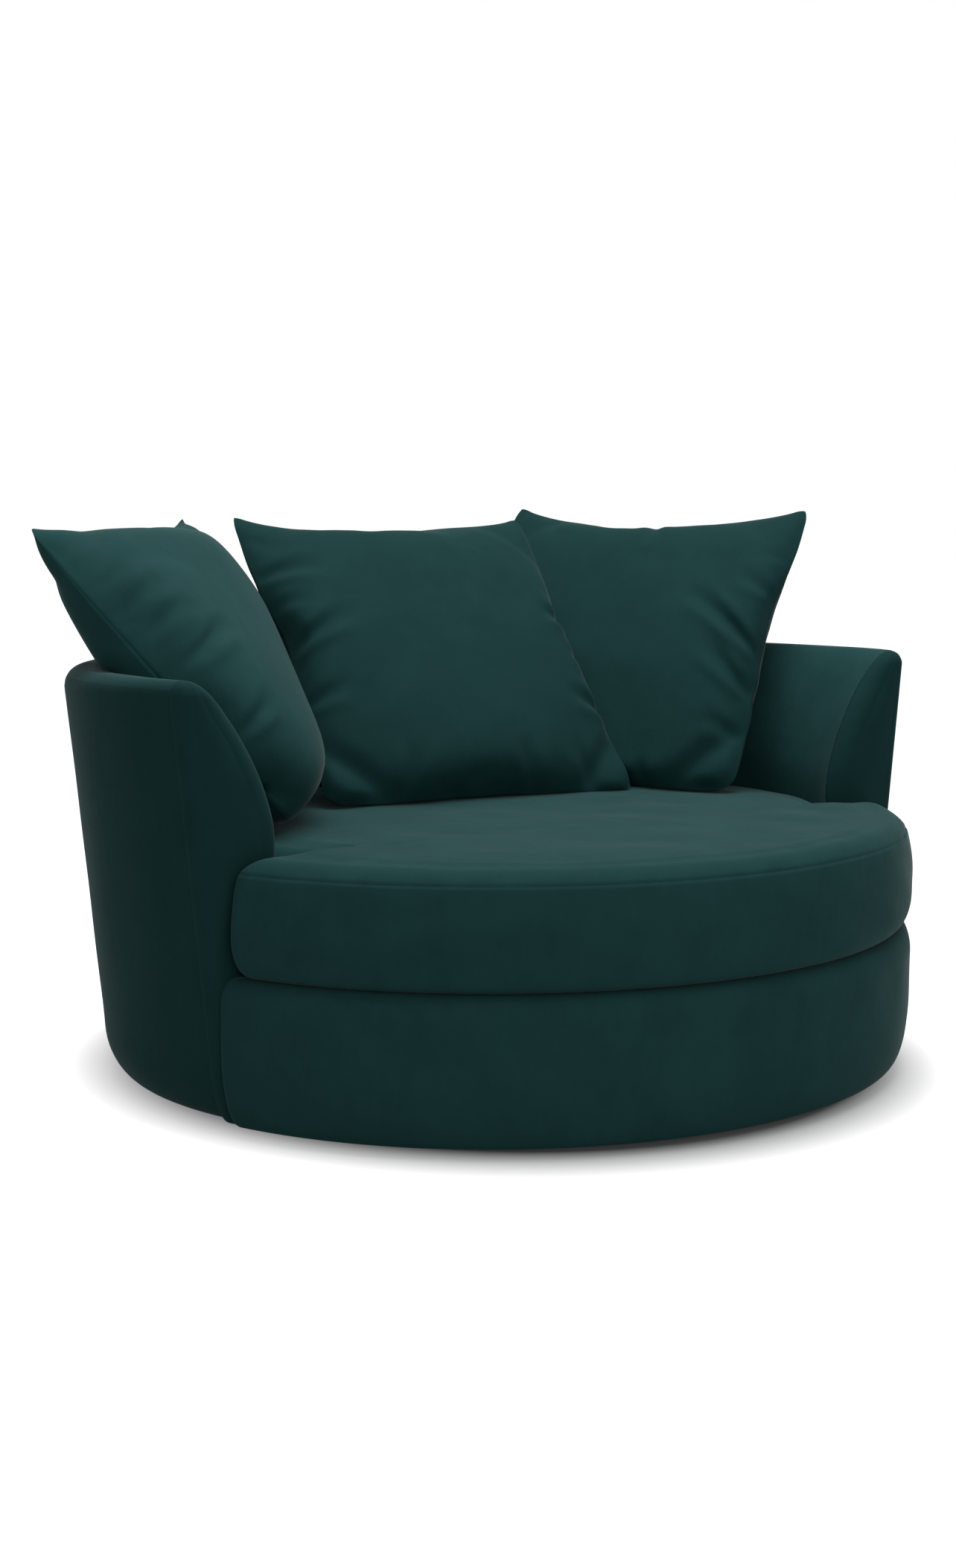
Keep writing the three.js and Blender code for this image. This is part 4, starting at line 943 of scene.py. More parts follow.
def front_section():
    """The rounded top, the face, the rolled foot, the hem and the hidden face."""
    top = quarter((0, FRONT_TOP - FRONT_TOP_DROP), (FRONT_TOP_REACH, FRONT_TOP), 12)[::-1]
    middle = np.linspace(FRONT_TOP - FRONT_TOP_DROP, HEM_LOW + FRONT_FOOT_HEIGHT, 12)[1:-1]
    face = np.stack([np.zeros(len(middle)), middle], -1)
    foot = quarter((0, HEM_LOW + FRONT_FOOT_HEIGHT), (FRONT_FOOT_REACH, HEM_LOW), 20)
    hem = [(FRONT_HEM_REACH - HEM_ROUND, HEM_LOW),
           (FRONT_HEM_REACH - HEM_BEVEL, HEM_LOW + HEM_BEVEL),
           (FRONT_HEM_REACH, HEM_LOW + HEM_ROUND), (FRONT_HEM_REACH, HEM_TOP),
           (FRONT_DEEP, HEM_TOP), (FRONT_DEEP, 130.0), (FRONT_DEEP, FRONT_TOP)]
    return np.concatenate([top, face, foot, hem]), len(top) + len(face) + len(foot)


def front_panel_points(side):
    """The section at each place from side to side, with a ripple and drawn ends."""
    section, shown = front_section()
    section = np.broadcast_to(section, (len(side), *section.shape)).copy()
    reach = (1 - np.abs(side))[:, None] * FRONT_HALF_ARC
    around, height = side[:, None] * FRONT_HALF_ARC, section[:, :shown, 1]
    section[:, :shown, 0] += drawn_in(reach, 2.0, 4.0)
    fade = np.clip(reach / 60, 0, 1) * np.clip((height - 20) / 60, 0, 1)
    fade = fade * np.clip((FRONT_TOP - height) / 20, 0, 1)
    section[:, :shown, 0] += np.clip(1 + ripple(around, height, 41, 150, 0.6), 0, 3) * fade
    inset, height = section[..., 0], section[..., 1]
    turn = side[:, None] * np.arccos(FRONT_END / (FRONT_HALF_DEPTH - inset))
    return front_point(inset, height, turn)


panel = sweep_to_piece("front_base_panel_velvet",
                       front_panel_points(end_spacing(221, (0.0012, 0.0025, 0.004, 0.007))))
paint(panel, velvet)
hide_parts("front_base_panel")
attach(panel, "chair")

# %% [markdown]
# Under the seat cushion the springs are covered by a thin pad in lining cloth. Its outline
# follows the inner side of the wall and the base panel. It is filled with rings that shrink
# towards the middle, and its top dips by less than a millimetre between the springs.

# %% The deck pad
DECK_BOTTOM = 217.6
DECK_WALL_INSET, DECK_FRONT_INSET, DECK_FRONT_END = 129.5, 34.3, FRONT_END + 0.8
DECK_MIDDLE = np.array([0.0, -40.0])
DECK_SCALES = [0.96, 0.992, 1.0, 1.0, 0.992, 0.97, 0.9, 0.8, 0.7, 0.6, 0.5, 0.4, 0.3, 0.2, 0.1]
DECK_HEIGHTS = [217.6, 217.9, 220.0, 227.0, 229.2, 229.9, 229.6, 229.0, 228.8, 229.1, 228.7,
                228.9, 228.6, 228.8, 228.7]


def arc_of_wall(inset, height, plane, count):
    """Points of the wall's plan at an inset, from one end plane round the back to the other."""
    end = end_turn(inset, height, plane)
    return wall_point(inset, height, np.linspace(end, 2 * np.pi - end, count))[:, :2]


def arc_of_front(inset, plane, count):
    """Points of the base panel's plan at an inset, from side to side."""
    end = np.arccos(plane / (FRONT_HALF_DEPTH - inset))
    return front_point(inset, 0.0, np.linspace(-end, end, count))[:, :2]


def level_rings(outline, middle, scales, heights):
    """The outline shrunk towards a middle point, one ring for each scale and height."""
    scales = np.asarray(scales)[:, None, None]
    plan = middle + (outline[None] - middle) * scales
    height = np.broadcast_to(np.asarray(heights)[:, None], plan.shape[:2])
    return np.concatenate([plan, height[..., None]], axis=-1)


deck_back = arc_of_wall(DECK_WALL_INSET, DECK_BOTTOM, WALL_END, 121)
deck_front = arc_of_front(DECK_FRONT_INSET, DECK_FRONT_END, 91)
deck_corner = np.array([[deck_back[0, 0], -DECK_FRONT_END]])
deck_outline = np.concatenate([deck_front, deck_corner, deck_back, deck_corner * [-1, 1]])
deck = sweep_to_piece("deck_pad_lining",
                      level_rings(deck_outline, DECK_MIDDLE, DECK_SCALES, DECK_HEIGHTS))
paint(deck, lining)
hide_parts("deck_cover")
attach(deck, "chair")

# %% [markdown]
# Under the chair a dust cover of the same cloth is stretched and stapled to the bottom frame.
# It is one thin sheet with a round hole for the turntable. The rings run from the outline in
# to the hole on the lower face and back out on the upper one, so the sheet is closed. Its cut
# size is what a maker would lay out on the table.

# %% The dust cover
DUST_LOW, DUST_THICK, DUST_HOLE, DUST_SAG = 35.9, 1.2, 206.0, 0.4
DUST_WALL_INSET, DUST_FRONT_INSET = 60.3, 75.3


def dust_cover_points(count):
    """Places between the outline and the hole in even shares, with a sag that is a sine
    squared of the share, and the same places again one thickness higher."""
    back = arc_of_wall(DUST_WALL_INSET, DUST_LOW, WALL_END, count // 2)
    front = arc_of_front(DUST_FRONT_INSET, FRONT_END, count - count // 2)
    outline = np.concatenate([front, back])
    angle = np.arctan2(outline[:, 1], outline[:, 0])
    hole = DUST_HOLE * np.stack([np.cos(angle), np.sin(angle)], -1)
    share = np.linspace(0, 1, 12)[:, None, None]
    plan = outline * (1 - share) + hole * share
    sag = DUST_SAG * np.sin(np.pi * share[..., 0]) ** 2 * np.ones((1, count))
    low = np.concatenate([plan, (DUST_LOW - sag)[..., None]], -1)
    high = low + np.array([0, 0, DUST_THICK])
    return np.concatenate([low, high[::-1]]), outline


dust_points, dust_outline = dust_cover_points(200)
rings, columns = dust_points.shape[:2]
dust_index = np.arange(rings * columns).reshape(rings, columns)
dust_index = np.concatenate([dust_index, dust_index[:1]])
dust = make_piece("dust_cover_lining", dust_points, grid_squares(dust_index, wrap=True))
paint(dust, lining)
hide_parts("dust_cover")
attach(dust, "chair")
x, y = dust_outline.T
dust_area = abs((x * np.roll(y, -1) - y * np.roll(x, -1)).sum()) / 2 - np.pi * DUST_HOLE ** 2
dust_area *= MM * MM

# %% [markdown]
# The seat cushion is a firm foam block with a fibre wrap in a boxed cover. Its plan is a wide
# arc in front, a rounded corner and a short straight edge on each ear, and an arc inside the
# wall. Rings of that plan are stacked later on: a rounded lower edge, a side that leans in
# gently to the seam, and a top that rises from the seam and crowns over the whole seat. Foam
# keeps its shape, so formulas do here what the cloth simulation does for the back cushions.

# %% The seat cushion's plan
SEAT_BOTTOM, SEAT_SEAM, SEAT_CROWN = 230.3, 381.0, 31.0
SEAT_HALF_WIDTH, SEAT_DEPTH, EAR_BACK, EAR_ROUND = 672.0, 640.8, 222.0, 26.0
SEAT_INSET, SEAT_MIDDLE, MIDDLE_SIZE = 131.0, np.array([0.0, -290.0]), np.array([380, 240])
FRONT_PULL, REAR_PULL, CROWN_REACH = 34.0, 14.0, 38.0


def bend(start, knee, finish, count):
    """A curve that leaves the first point towards the knee and arrives from it."""
    t = np.linspace(0, 1, count)[:, None]
    return (1 - t) ** 2 * start + 2 * t * (1 - t) * knee + t ** 2 * finish


def seat_plan(height, front_inset, rear_inset):
    """One ring of the cushion: front arc, ear corner, ear edge, rear arc and their mirrors."""
    depth, wide = SEAT_DEPTH - front_inset, SEAT_HALF_WIDTH - front_inset
    ear = EAR_BACK + rear_inset / 2
    start = math.acos((ear + EAR_ROUND) / depth)
    turn = np.linspace(-start, start, 181)
    front = np.stack([wide * np.sin(turn), -depth * np.cos(turn)], -1)
    corner_x = wide * math.sqrt(1 - (ear / depth) ** 2)
    corner = bend(front[-1], np.array([corner_x, -ear]),
                  np.array([corner_x - EAR_ROUND, -ear]), 12)[1:]
    rear = arc_of_wall(SEAT_INSET + rear_inset, height, ear, 151)
    share = np.linspace(0, 1, 10)[1:-1, None]
    edge = corner[-1] * (1 - share) + rear[0] * share
    flip = np.array([-1, 1])
    return np.concatenate([front, corner, edge, rear, (edge * flip)[::-1],
                           (corner * flip)[::-1]])


seat_ring = seat_plan(SEAT_SEAM, 0.0, 0.0)
print("seat ring", len(seat_ring), "points, width", round(np.ptp(seat_ring[:, 0]), 1))

# %% [markdown]
# Two formulas give the cushion's section. The side draws in along a rounded curve below its
# middle, and above it leans in as a power of the height. The top is full in the middle and
# falls off with a fifth power towards the edge, so most of the seat is nearly level.

# %% The seat cushion's side and crown
WIDEST_UP, SIDE_ROUND, LEAN_POWER = 0.49, 2.5, 2.1
SIDE_LEAN, REAR_LEAN = 0.35, 0.3
CROWN_BLEND, CROWN_SOFT, CROWN_FALL = 90, 14, 0.3


def side_pull(up, lean):
    """From 1 at the bottom to 0 near the middle along a superellipse, then in again by lean
    at the seam, as a power of the height."""
    low = np.clip(1 - up / WIDEST_UP, 0, 1)
    high = np.clip((up - WIDEST_UP) / (1 - WIDEST_UP), 0, 1)
    return 1 - (1 - low ** SIDE_ROUND) ** (1 / SIDE_ROUND) + lean * high ** LEAN_POWER


def crown_share(x, y):
    """How near the edge a place on the top is: 0 in the middle and 1 at the last step in from
    the seam. It follows the front ellipse, and behind the ears the wall's ellipse."""
    front_wide = SEAT_HALF_WIDTH - FRONT_PULL * SIDE_LEAN - CROWN_REACH
    front_deep = SEAT_DEPTH - FRONT_PULL * SIDE_LEAN - CROWN_REACH
    in_front = np.hypot(x / front_wide, y / front_deep)
    inset = SEAT_INSET + REAR_PULL * REAR_LEAN + CROWN_REACH
    wide = half_width(SEAT_SEAM)
    behind = np.hypot(x / (wide - inset), y / (wide * WALL_DEPTH_SHARE - inset))
    return in_front + (behind - in_front) * eased((y + EAR_BACK) / CROWN_BLEND)


def crown_height(x, y):
    """The crowned top: full in the middle, lower by a fifth power towards the edge, and
    level again beyond it, without a kink."""
    inside = 1 - np.clip(crown_share(x, y), 0, 2)
    share = 1 - np.log1p(np.exp(CROWN_SOFT * inside)) / CROWN_SOFT
    return SEAT_SEAM + SEAT_CROWN * (1 - CROWN_FALL * np.clip(share, 0, 1) ** 5)


print("seat top", round(float(crown_height(0.0, -290.0)), 1), "mm high in the middle and",
      round(float(crown_height(0.0, -550.0)), 1), "mm near the front")

# %% [markdown]
# The rings come in four groups: up the side, in from the seam while the top rises, on towards
# an ellipse in the middle, and from that ellipse to a point. The ellipse is there because the
# plan has ears: shrunk straight to one point, rings with ears would cross the cushion's edge.

# %% Stack the seat cushion's rings
RISE_STEPS = [0.0, 0.03, 0.07, 0.12, 0.18, 0.26, 0.36, 0.48, 0.62, 0.78, 1.0]
RISE_SHARE = 1 - CROWN_FALL
LOW_SHARE, HIGH_SHARE, LAST_STEPS = 0.35, 0.93, [0.955, 0.97, 0.982, 0.992]
TOP_STARTS, TOP_FAR = 46, 300


def middle_ellipse(ring):
    """A point of the middle ellipse for each point of a ring, in the same direction from the
    ellipse's centre, which sees every point of the ring past the ears."""
    away = (ring - SEAT_MIDDLE) / MIDDLE_SIZE
    return SEAT_MIDDLE + MIDDLE_SIZE * away / np.linalg.norm(away, axis=1, keepdims=True)


def seat_rings():
    """All the rings from the underside to the crown, and each one's distance from the seam."""
    side_up = (1 - np.cos(np.linspace(0, np.pi / 2, 14)))[:-1] * LOW_SHARE
    side_up = np.concatenate([side_up, np.linspace(LOW_SHARE, HIGH_SHARE, 26), LAST_STEPS])
    tall = SEAT_SEAM - SEAT_BOTTOM
    rings, seam_distance = [], []
    for up in side_up:
        height = SEAT_BOTTOM + tall * up
        plan = seat_plan(height, FRONT_PULL * side_pull(up, SIDE_LEAN),
                         REAR_PULL * side_pull(up, REAR_LEAN))
        rings.append(np.column_stack([plan, np.full(len(plan), height)]))
        seam_distance.append((1 - up) * tall)
    for reach in RISE_STEPS:
        rise = RISE_SHARE * (1 - (1 - reach) ** 2.4)
        plan = seat_plan(SEAT_SEAM, FRONT_PULL * SIDE_LEAN + CROWN_REACH * reach,
                         REAR_PULL * REAR_LEAN + CROWN_REACH * reach)
        rings.append(np.column_stack([plan, np.full(len(plan), SEAT_SEAM + SEAT_CROWN * rise)]))
        seam_distance.append(CROWN_REACH * reach + 8 * rise)
    edge = rings[-1][:, :2]
    inner = middle_ellipse(edge)
    for share in np.linspace(0, 1, 27)[1:]:
        plan = edge * (1 - share) + inner * share
        grow = min(1.0, share / 0.3)
        height = (SEAT_SEAM + SEAT_CROWN * RISE_SHARE * (1 - grow)
                  + (crown_height(*plan.T) - SEAT_SEAM) * grow)
        rings.append(np.column_stack([plan, height]))
        seam_distance.append(TOP_STARTS + share * 250)
    for scale in np.linspace(1, 0.03, 34)[1:]:
        plan = SEAT_MIDDLE + (inner - SEAT_MIDDLE) * scale
        rings.append(np.column_stack([plan, crown_height(*plan.T)]))
        seam_distance.append(TOP_FAR)
    return np.array(rings), np.array(seam_distance)[:, None]


stack, from_seam = seat_rings()
first_top = np.argmax(from_seam[:, 0] >= TOP_STARTS)
for _ in range(3):
    level = stack[first_top:, :, 2]
    stack[first_top:, :, 2] = sum(np.roll(level, step, axis=1) for step in range(-4, 5)) / 9
print("seat rings", stack.shape[0], "of", stack.shape[1], "points")

# %% [markdown]
# The cover adds the finest forms. Stitching draws the cloth in at the seam, the cloth gathers
# in small puckers beside it, and a slow wave, a hand's span long, goes over the whole cushion.
# Each of them moves a point along its own way out of the surface, and all of them fade out
# towards the underside, which lies flat on the deck pad.

# %% The seat cushion's cover
STITCH_DEEP, STITCH_REACH = 1.8, 2.2
PUCKER_MM, PUCKER_HIGH, PUCKER_REACH = 16, 0.45, 16
WAVE_MM, WAVE_HIGH, WAVE_SUNK, WAVE_FADE = 210, 1.0, 1.2, 40
SIDE_RING = 20


def surface_normals(rings):
    """Each point's way out: the sum of its four squares' diagonals crossed, which counts big
    squares for more and thin ones for little."""
    after = np.roll(rings, -1, axis=1)
    crossed = np.cross(after[1:] - rings[:-1], rings[1:] - after[:-1])
    padded = np.concatenate([crossed[:1], crossed, crossed[-1:]])
    around = padded + np.roll(padded, 1, axis=1)
    normal = around[:-1] + around[1:]
    return normal / np.maximum(np.linalg.norm(normal, axis=-1, keepdims=True), 1e-9)


def ring_length(rings):
    """The distance round each ring from its first point."""
    steps = np.linalg.norm(np.roll(rings, -1, axis=1) - rings, axis=-1)
    return np.cumsum(steps, axis=1) - steps


way_out = surface_normals(stack)
if (way_out[SIDE_RING, :, :2] * (stack[SIDE_RING, :, :2] - SEAT_MIDDLE)).sum() < 0:
    way_out = -way_out
above_foot = np.clip((stack[..., 2] - SEAT_BOTTOM - 4) / 30, 0, 1)
pucker = (ripple(ring_length(stack), 0.0, 51, PUCKER_MM, PUCKER_HIGH, waves=9)
          * np.exp(-from_seam / PUCKER_REACH))
slow_wave = ripple(stack[..., 0], stack[..., 1] + stack[..., 2] * 2, 53, WAVE_MM, WAVE_HIGH)
slow_wave = np.clip(slow_wave - WAVE_SUNK, -4, 0) * np.clip(from_seam / WAVE_FADE, 0, 1)
move = (pucker - drawn_in(from_seam, STITCH_DEEP, STITCH_REACH) + slow_wave) * above_foot
seat = make_piece("seat_cushion_velvet", stack + way_out * move[..., None],
                  tube_faces(*stack.shape[:2]), sharp_degrees=70)
paint(seat, velvet)
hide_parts("seat_cushion")
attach(seat, "seat_cushion")

# %% [markdown]
# The three back cushions are plain square bags, filled with feather or fibre and closed with
# one seam all round. Nothing shapes them but their own cloth: when a flat square bag is
# filled, its corners stay sharp, its sides pull in, and short creases run in from the seam.
# No formula gives such a form as well as Blender's cloth does. So two square sheets that
# share their rim are laid together first, nearly flat, with a slow seeded wobble that decides
# where the cloth will fold.

# %% A flat square bag
BAG_HALF, BAG_CELLS = 0.305, 64
LENS_THICK, WOBBLE_LONG, WOBBLE_HIGH = 0.02, 0.9, 0.0015


def flat_bag(cells, seed):
    """Two square sheets that part by a thin lens, the root of a product of parabolas, with a
    shared rim, and a slow seeded wobble on both."""
    t = np.linspace(-1, 1, cells + 1)
    u, v = np.meshgrid(t, t, indexing="ij")
    lens = LENS_THICK * np.sqrt(np.clip((1 - u ** 2) * (1 - v ** 2), 0, 1))
    wobble = ripple(u, v, seed, WOBBLE_LONG, WOBBLE_HIGH) * (1 - u ** 2) * (1 - v ** 2)
    place = lambda z: np.stack([u * BAG_HALF, v * BAG_HALF, z + wobble], -1)
    return place(lens), place(-lens)


def bag_index(cells):
    """Point numbers of the front and the back sheet. The rim is numbered once."""
    side = cells + 1
    front = np.arange(side * side).reshape(side, side)
    inner = np.zeros((side, side), bool)
    inner[1:-1, 1:-1] = True
    back = front.copy()
    back[inner] = side * side + np.arange(inner.sum())
    return front, back, inner


def bag_faces(cells):
    """Squares of the front sheet, and those of the back sheet the other way round."""
    front, back, _ = bag_index(cells)
    return np.concatenate([grid_squares(front), grid_squares(back)[:, ::-1]])


print("bag of", BAG_CELLS, "cells a side,", len(bag_faces(BAG_CELLS)), "squares")

# %% [markdown]
# Then air pressure fills the bag. Gravity is off, because the cushion leans on its neighbours
# and hardly hangs. The cloth bends easily, as velvet over loose filling does, and after 30
# frames the bag is as full as it is wanted. Its points are read back as plain numbers, so no
# cloth modifier is left on any piece.

# %% Fill the bag with the cloth simulation
BAG_FRAMES, BAG_PRESSURE = 30, 1.2
CLOTH_STIFFNESS, CLOTH_BENDING = 15.0, 0.2


def fill_bag(seed):
    """Runs the cloth from flat to full, and returns the front and back sheets of points."""
    front, back = flat_bag(BAG_CELLS, seed)
    front_index, back_index, inner = bag_index(BAG_CELLS)
    points = np.concatenate([front.reshape(-1, 3), back[inner]])
    bag = make_piece(f"bag_{seed}", points / MM, bag_faces(BAG_CELLS))
    cloth = bag.modifiers.new("cloth", "CLOTH")
    rules = cloth.settings
    rules.quality, rules.mass, rules.air_damping = 6, 0.3, 1.0
    rules.tension_stiffness = rules.compression_stiffness = CLOTH_STIFFNESS
    rules.shear_stiffness, rules.bending_stiffness = 5.0, CLOTH_BENDING
    rules.tension_damping = rules.compression_damping = rules.shear_damping = 5.0
    rules.bending_damping = 0.5
    rules.use_pressure, rules.uniform_pressure_force = True, BAG_PRESSURE
    rules.effector_weights.gravity = 0
    cloth.collision_settings.use_collision = False
    cloth.point_cache.frame_start, cloth.point_cache.frame_end = 1, BAG_FRAMES + 1
    for step in range(1, BAG_FRAMES + 1):
        bpy.context.scene.frame_set(step)
    settled = bag.evaluated_get(bpy.context.evaluated_depsgraph_get()).to_mesh()
    result = np.zeros(len(settled.vertices) * 3, np.float32)
    settled.vertices.foreach_get("co", result)
    result = result.reshape(-1, 3).astype(float)
    bag_mesh = bag.data
    bpy.data.objects.remove(bag)
    bpy.data.meshes.remove(bag_mesh)
    bpy.context.scene.frame_set(1)
    return result[front_index], result[back_index]


print("the bag is filled for", BAG_FRAMES, "frames at pressure", BAG_PRESSURE)

# %% [markdown]
# Fresh from the simulation the bag is all creases, as if it were filled with air. Feather and
# fibre press most of them out from inside, and only the ones that start at the seam stay. So
# the sheet is averaged over and over, which leaves its full round form without creases, and
# then a small share of the creases is put back. Last the bag is scaled: its corners go to
# minus one and one, and its sides are let out to straight lines, because each cushion pulls
# its own sides in later on.

# %% Calm the creases and scale the bag
FRONT_KEPT, BACK_KEPT, RIM_KEPT = 0.09, 0.15, 0.22
AVERAGE_TIMES = 30


def averaged(sheet, times):
    """The sheet with each inner point moved to its neighbours' middle, many times over, and
    each rim point to the middle along the rim. Corners stay."""
    sheet = sheet.copy()
    for _ in range(times):
        soft = sheet.copy()
        soft[1:-1, 1:-1] = (sheet[:-2, 1:-1] + sheet[2:, 1:-1]
                            + sheet[1:-1, :-2] + sheet[1:-1, 2:]) / 4
        for side in ((0, slice(None)), (-1, slice(None)), (slice(None), 0), (slice(None), -1)):
            soft[side][1:-1] = (sheet[side][:-2] + sheet[side][2:]) / 2
        sheet = soft
    return sheet


def calmed(sheet, kept):
    """Keeps only a share of the creases, which are what averaging takes away."""
    smooth = averaged(sheet, AVERAGE_TIMES)
    return smooth + kept * (sheet - smooth)


def scaled_bag(front, back):
    """Scales the filled bag: corners at minus one and one, sides let out to straight lines,
    and a half thickness of one."""
    corner = np.abs(front[[0, 0, -1, -1], [0, -1, 0, -1], :2]).mean()
    rim_mid = np.abs([front[0, BAG_CELLS // 2, 0], front[-1, BAG_CELLS // 2, 0],
                      front[BAG_CELLS // 2, 0, 1], front[BAG_CELLS // 2, -1, 1]]).mean()
    let_out = corner / rim_mid - 1
    half_thick = np.percentile(np.abs(np.stack([front[..., 2], back[..., 2]])), 99.5)
    sheets = []
    for sheet, kept in ((front, FRONT_KEPT), (back, BACK_KEPT)):
        u, v = sheet[..., 0] / corner, sheet[..., 1] / corner
        wide = u * (1 + let_out * np.clip(1 - v ** 2, 0, 1))
        tall = v * (1 + let_out * np.clip(1 - u ** 2, 0, 1))
        level = calmed(np.stack([wide, tall, sheet[..., 2] / half_thick], -1), kept)
        level[..., :2] = calmed(np.stack([wide, tall], -1), RIM_KEPT)
        sheets.append(level)
    print("bag corner", round(corner, 4), "rim", round(rim_mid, 4), "thick", round(half_thick, 4))
    return sheets


bags = [scaled_bag(*fill_bag(seed)) for seed in (3, 11)]
print("bags ready", len(bags))

# %% [markdown]
# Each cushion has four corners in the chair, worked out from where it leans on the wall's rim,
# how it is turned at its foot and at its head, and how far it has rolled to one side. The rest
# of the table says how it is filled: half its thickness, how far each side pulls in, how much
# its lower corners are tucked in, how far its upper tips reach beyond the square, and how much
# fuller it is in front than behind and at its foot than at its head. Last comes its velvet.

# %% Corners of the back cushions
CUSHION_SIZE = 580.0
# The middle and the right cushion take the darker copy of the velvet: painted shade.
BACK_CUSHIONS = {
    "left": {
        "rim": (-0.7137, 0.2006), "foot_turn": 63.6, "head_turn": 40.4, "lean": 35.9,
        "roll": 18.2, "sink": 0.004, "bag": 0, "quarter_turns": 0, "half_thick": 108.0,
        "swell": (1.13, 0.86), "fuller": 0.0, "pull": (0.03, 0.05, 0.05, 0.11),
        "tuck": (0.32, 0.05), "tips": (0, 0, 11, 33), "cloth": velvet},
    "middle": {
        "rim": (0.0259, 0.4271), "foot_turn": -4.6, "head_turn": -4.6, "lean": 39.5,
        "roll": 0.0, "sink": 0.0017, "bag": 1, "quarter_turns": 0, "half_thick": 80.0,
        "swell": (1.0, 1.0), "fuller": -0.15, "pull": (0.06, 0.05, 0.02, 0.04),
        "tuck": (0.03, -0.05), "tips": (0, 0, 35, 28), "cloth": velvet_painted_shade},
    "right": {
        "rim": (0.5967, 0.3908), "foot_turn": -63.6, "head_turn": -57.0, "lean": 35.8,
        "roll": -0.8, "sink": 0.0045, "bag": 0, "quarter_turns": 2, "half_thick": 84.0,
        "swell": (1.0, 1.0), "fuller": -0.15, "pull": (0.03, 0.07, 0.02, 0.13),
        "tuck": (0.03, 0.03), "tips": (0, 0, 29, 24), "cloth": velvet_painted_shade},
}


def direction(degrees):
    """A level direction turned from straight across."""
    return np.array([math.cos(math.radians(degrees)), math.sin(math.radians(degrees)), 0.0])


def cushion_corners(place):
    """Lower left, lower right, upper left and upper right corners, in millimetres. The slope
    leans back from upright and rolls to one side, the foot lies where that slope, drawn down
    from the wall's rim, meets the seat, and the head is one cushion's size up the slope."""
    side = direction((place["foot_turn"] + place["head_turn"]) / 2)
    back = np.array([-side[1], side[0], 0.0])
    lean, roll = math.radians(place["lean"]), math.radians(place["roll"])
    slope = math.cos(lean) * np.array([0, 0, 1.0]) + math.sin(lean) * back
    slope = math.cos(roll) * slope + math.sin(roll) * side
    foot_height = SEAT_SEAM + SEAT_CROWN - place["sink"] * CUSHION_SIZE
    rim = half_width(WALL_TOP) * np.array([place["rim"][0], place["rim"][1] * WALL_DEPTH_SHARE])
    foot = np.array([*rim, foot_height]) - (WALL_TOP - foot_height) * math.tan(lean) * back
    head = foot + CUSHION_SIZE * slope
    ends = lambda middle, turn: [middle + sign * CUSHION_SIZE / 2 * direction(turn)
                                 for sign in (-1, 1)]
    return np.array([*ends(foot, place["foot_turn"]), *ends(head, place["head_turn"])])


for name, place in BACK_CUSHIONS.items():
    print(name, np.round(cushion_corners(place)).tolist())

# %% [markdown]
# A cushion is flat where it rests on something. Points that would be inside the seat are
# lifted onto it. Points that would be inside the wall are moved out of it, inwards or upwards,
# whichever is shorter.

# %% Press a cushion on the seat and the wall
SEAT_CLEAR, WALL_CLEAR = 0.8, 2.0


def press_on_seat(points):
    """Lifts points that are under the seat's top to a little above it."""
    lowest = crown_height(points[..., 0], points[..., 1]) + SEAT_CLEAR
    points[..., 2] = np.maximum(points[..., 2], lowest)
    return points


def press_on_wall(points):
    """Moves points out of the padded wall, inwards or upwards, whichever is shorter. A point
    is inside where its distance out, as a share of the inner ellipse there, is over one."""
    x, y, z = points[..., 0], points[..., 1], points[..., 2]
    wide, deep = half_width(z), half_width(z) * WALL_DEPTH_SHARE
    turn = np.arctan2(x / wide, -y / deep)
    end = end_turn(0.0, z, WALL_END)
    side = np.clip((np.pi - np.abs(turn)) / (np.pi - end), 0, 1)
    inset = inner_inset(z, top_thickness(side)) + WALL_CLEAR
    share = np.hypot(x / (wide - inset), y / (deep - inset))
    inwards = (share - 1) * (deep - inset)
    upwards = WALL_TOP + raise_arm(WALL_TOP, (1 - side) * WALL_ARC / 2) + WALL_CLEAR - z
    inside_wall = (share > 1) & (upwards > 0) & (np.abs(turn) > end)
    move_in = inside_wall & (inwards <= upwards)
    points[..., :2] /= np.where(move_in, share, 1.0)[..., None]
    points[..., 2] = np.where(inside_wall & ~move_in, z + upwards, z)
    return points


sample = press_on_seat(np.array([[0.0, -290.0, 400.0]]))
print("a point inside the seat is lifted to", np.round(sample[0, 2], 1), "mm")

# %% [markdown]
# Where two cushions meet, both are pressed flat against one plane, the right side of one and
# the left side of the other. Each plane is given by the way it faces and its distance from
# the middle of the floor. The press is soft: a point near the plane gives way a little before
# it gets there, so no hard edge shows round the flat place.

# %% Press a cushion on its neighbours
CONTACT_CLEAR, CONTACT_SOFT = 0.8, 3.0
CONTACTS = (("left", "middle", (0.9616, -0.2333, 0.1443), -233.0),
            ("middle", "right", (0.8013, 0.4243, -0.4217), 78.0))


def press_on_neighbours(name, points):
    """Flattens a cushion softly along the plane where it meets the next one: a point's
    distance beyond the plane is taken off it, and fades out over a few millimetres."""
    for first, second, normal, distance in CONTACTS:
        if name in (first, second):
            way = 1 if name == first else -1
            beyond = way * (points @ np.array(normal) - distance) + CONTACT_CLEAR
            give = CONTACT_SOFT * np.logaddexp(0, beyond / CONTACT_SOFT)
            points = points - way * give[..., None] * np.array(normal)
    return points


print("cushions that meet", [pair[:2] for pair in CONTACTS])

# %% [markdown]
# The creases that run in from the seam are where the thread gathers the cloth. They show most
# from the front, so they are drawn one by one: each is a line from the seam, at (u, v) on a
# square from -1 to 1, to where it fades out, with its depth and its width. Across the line
# the filling thins to a valley and stands up in a low ridge on each side. Where the line
# starts, the seam itself is pinched in a little.

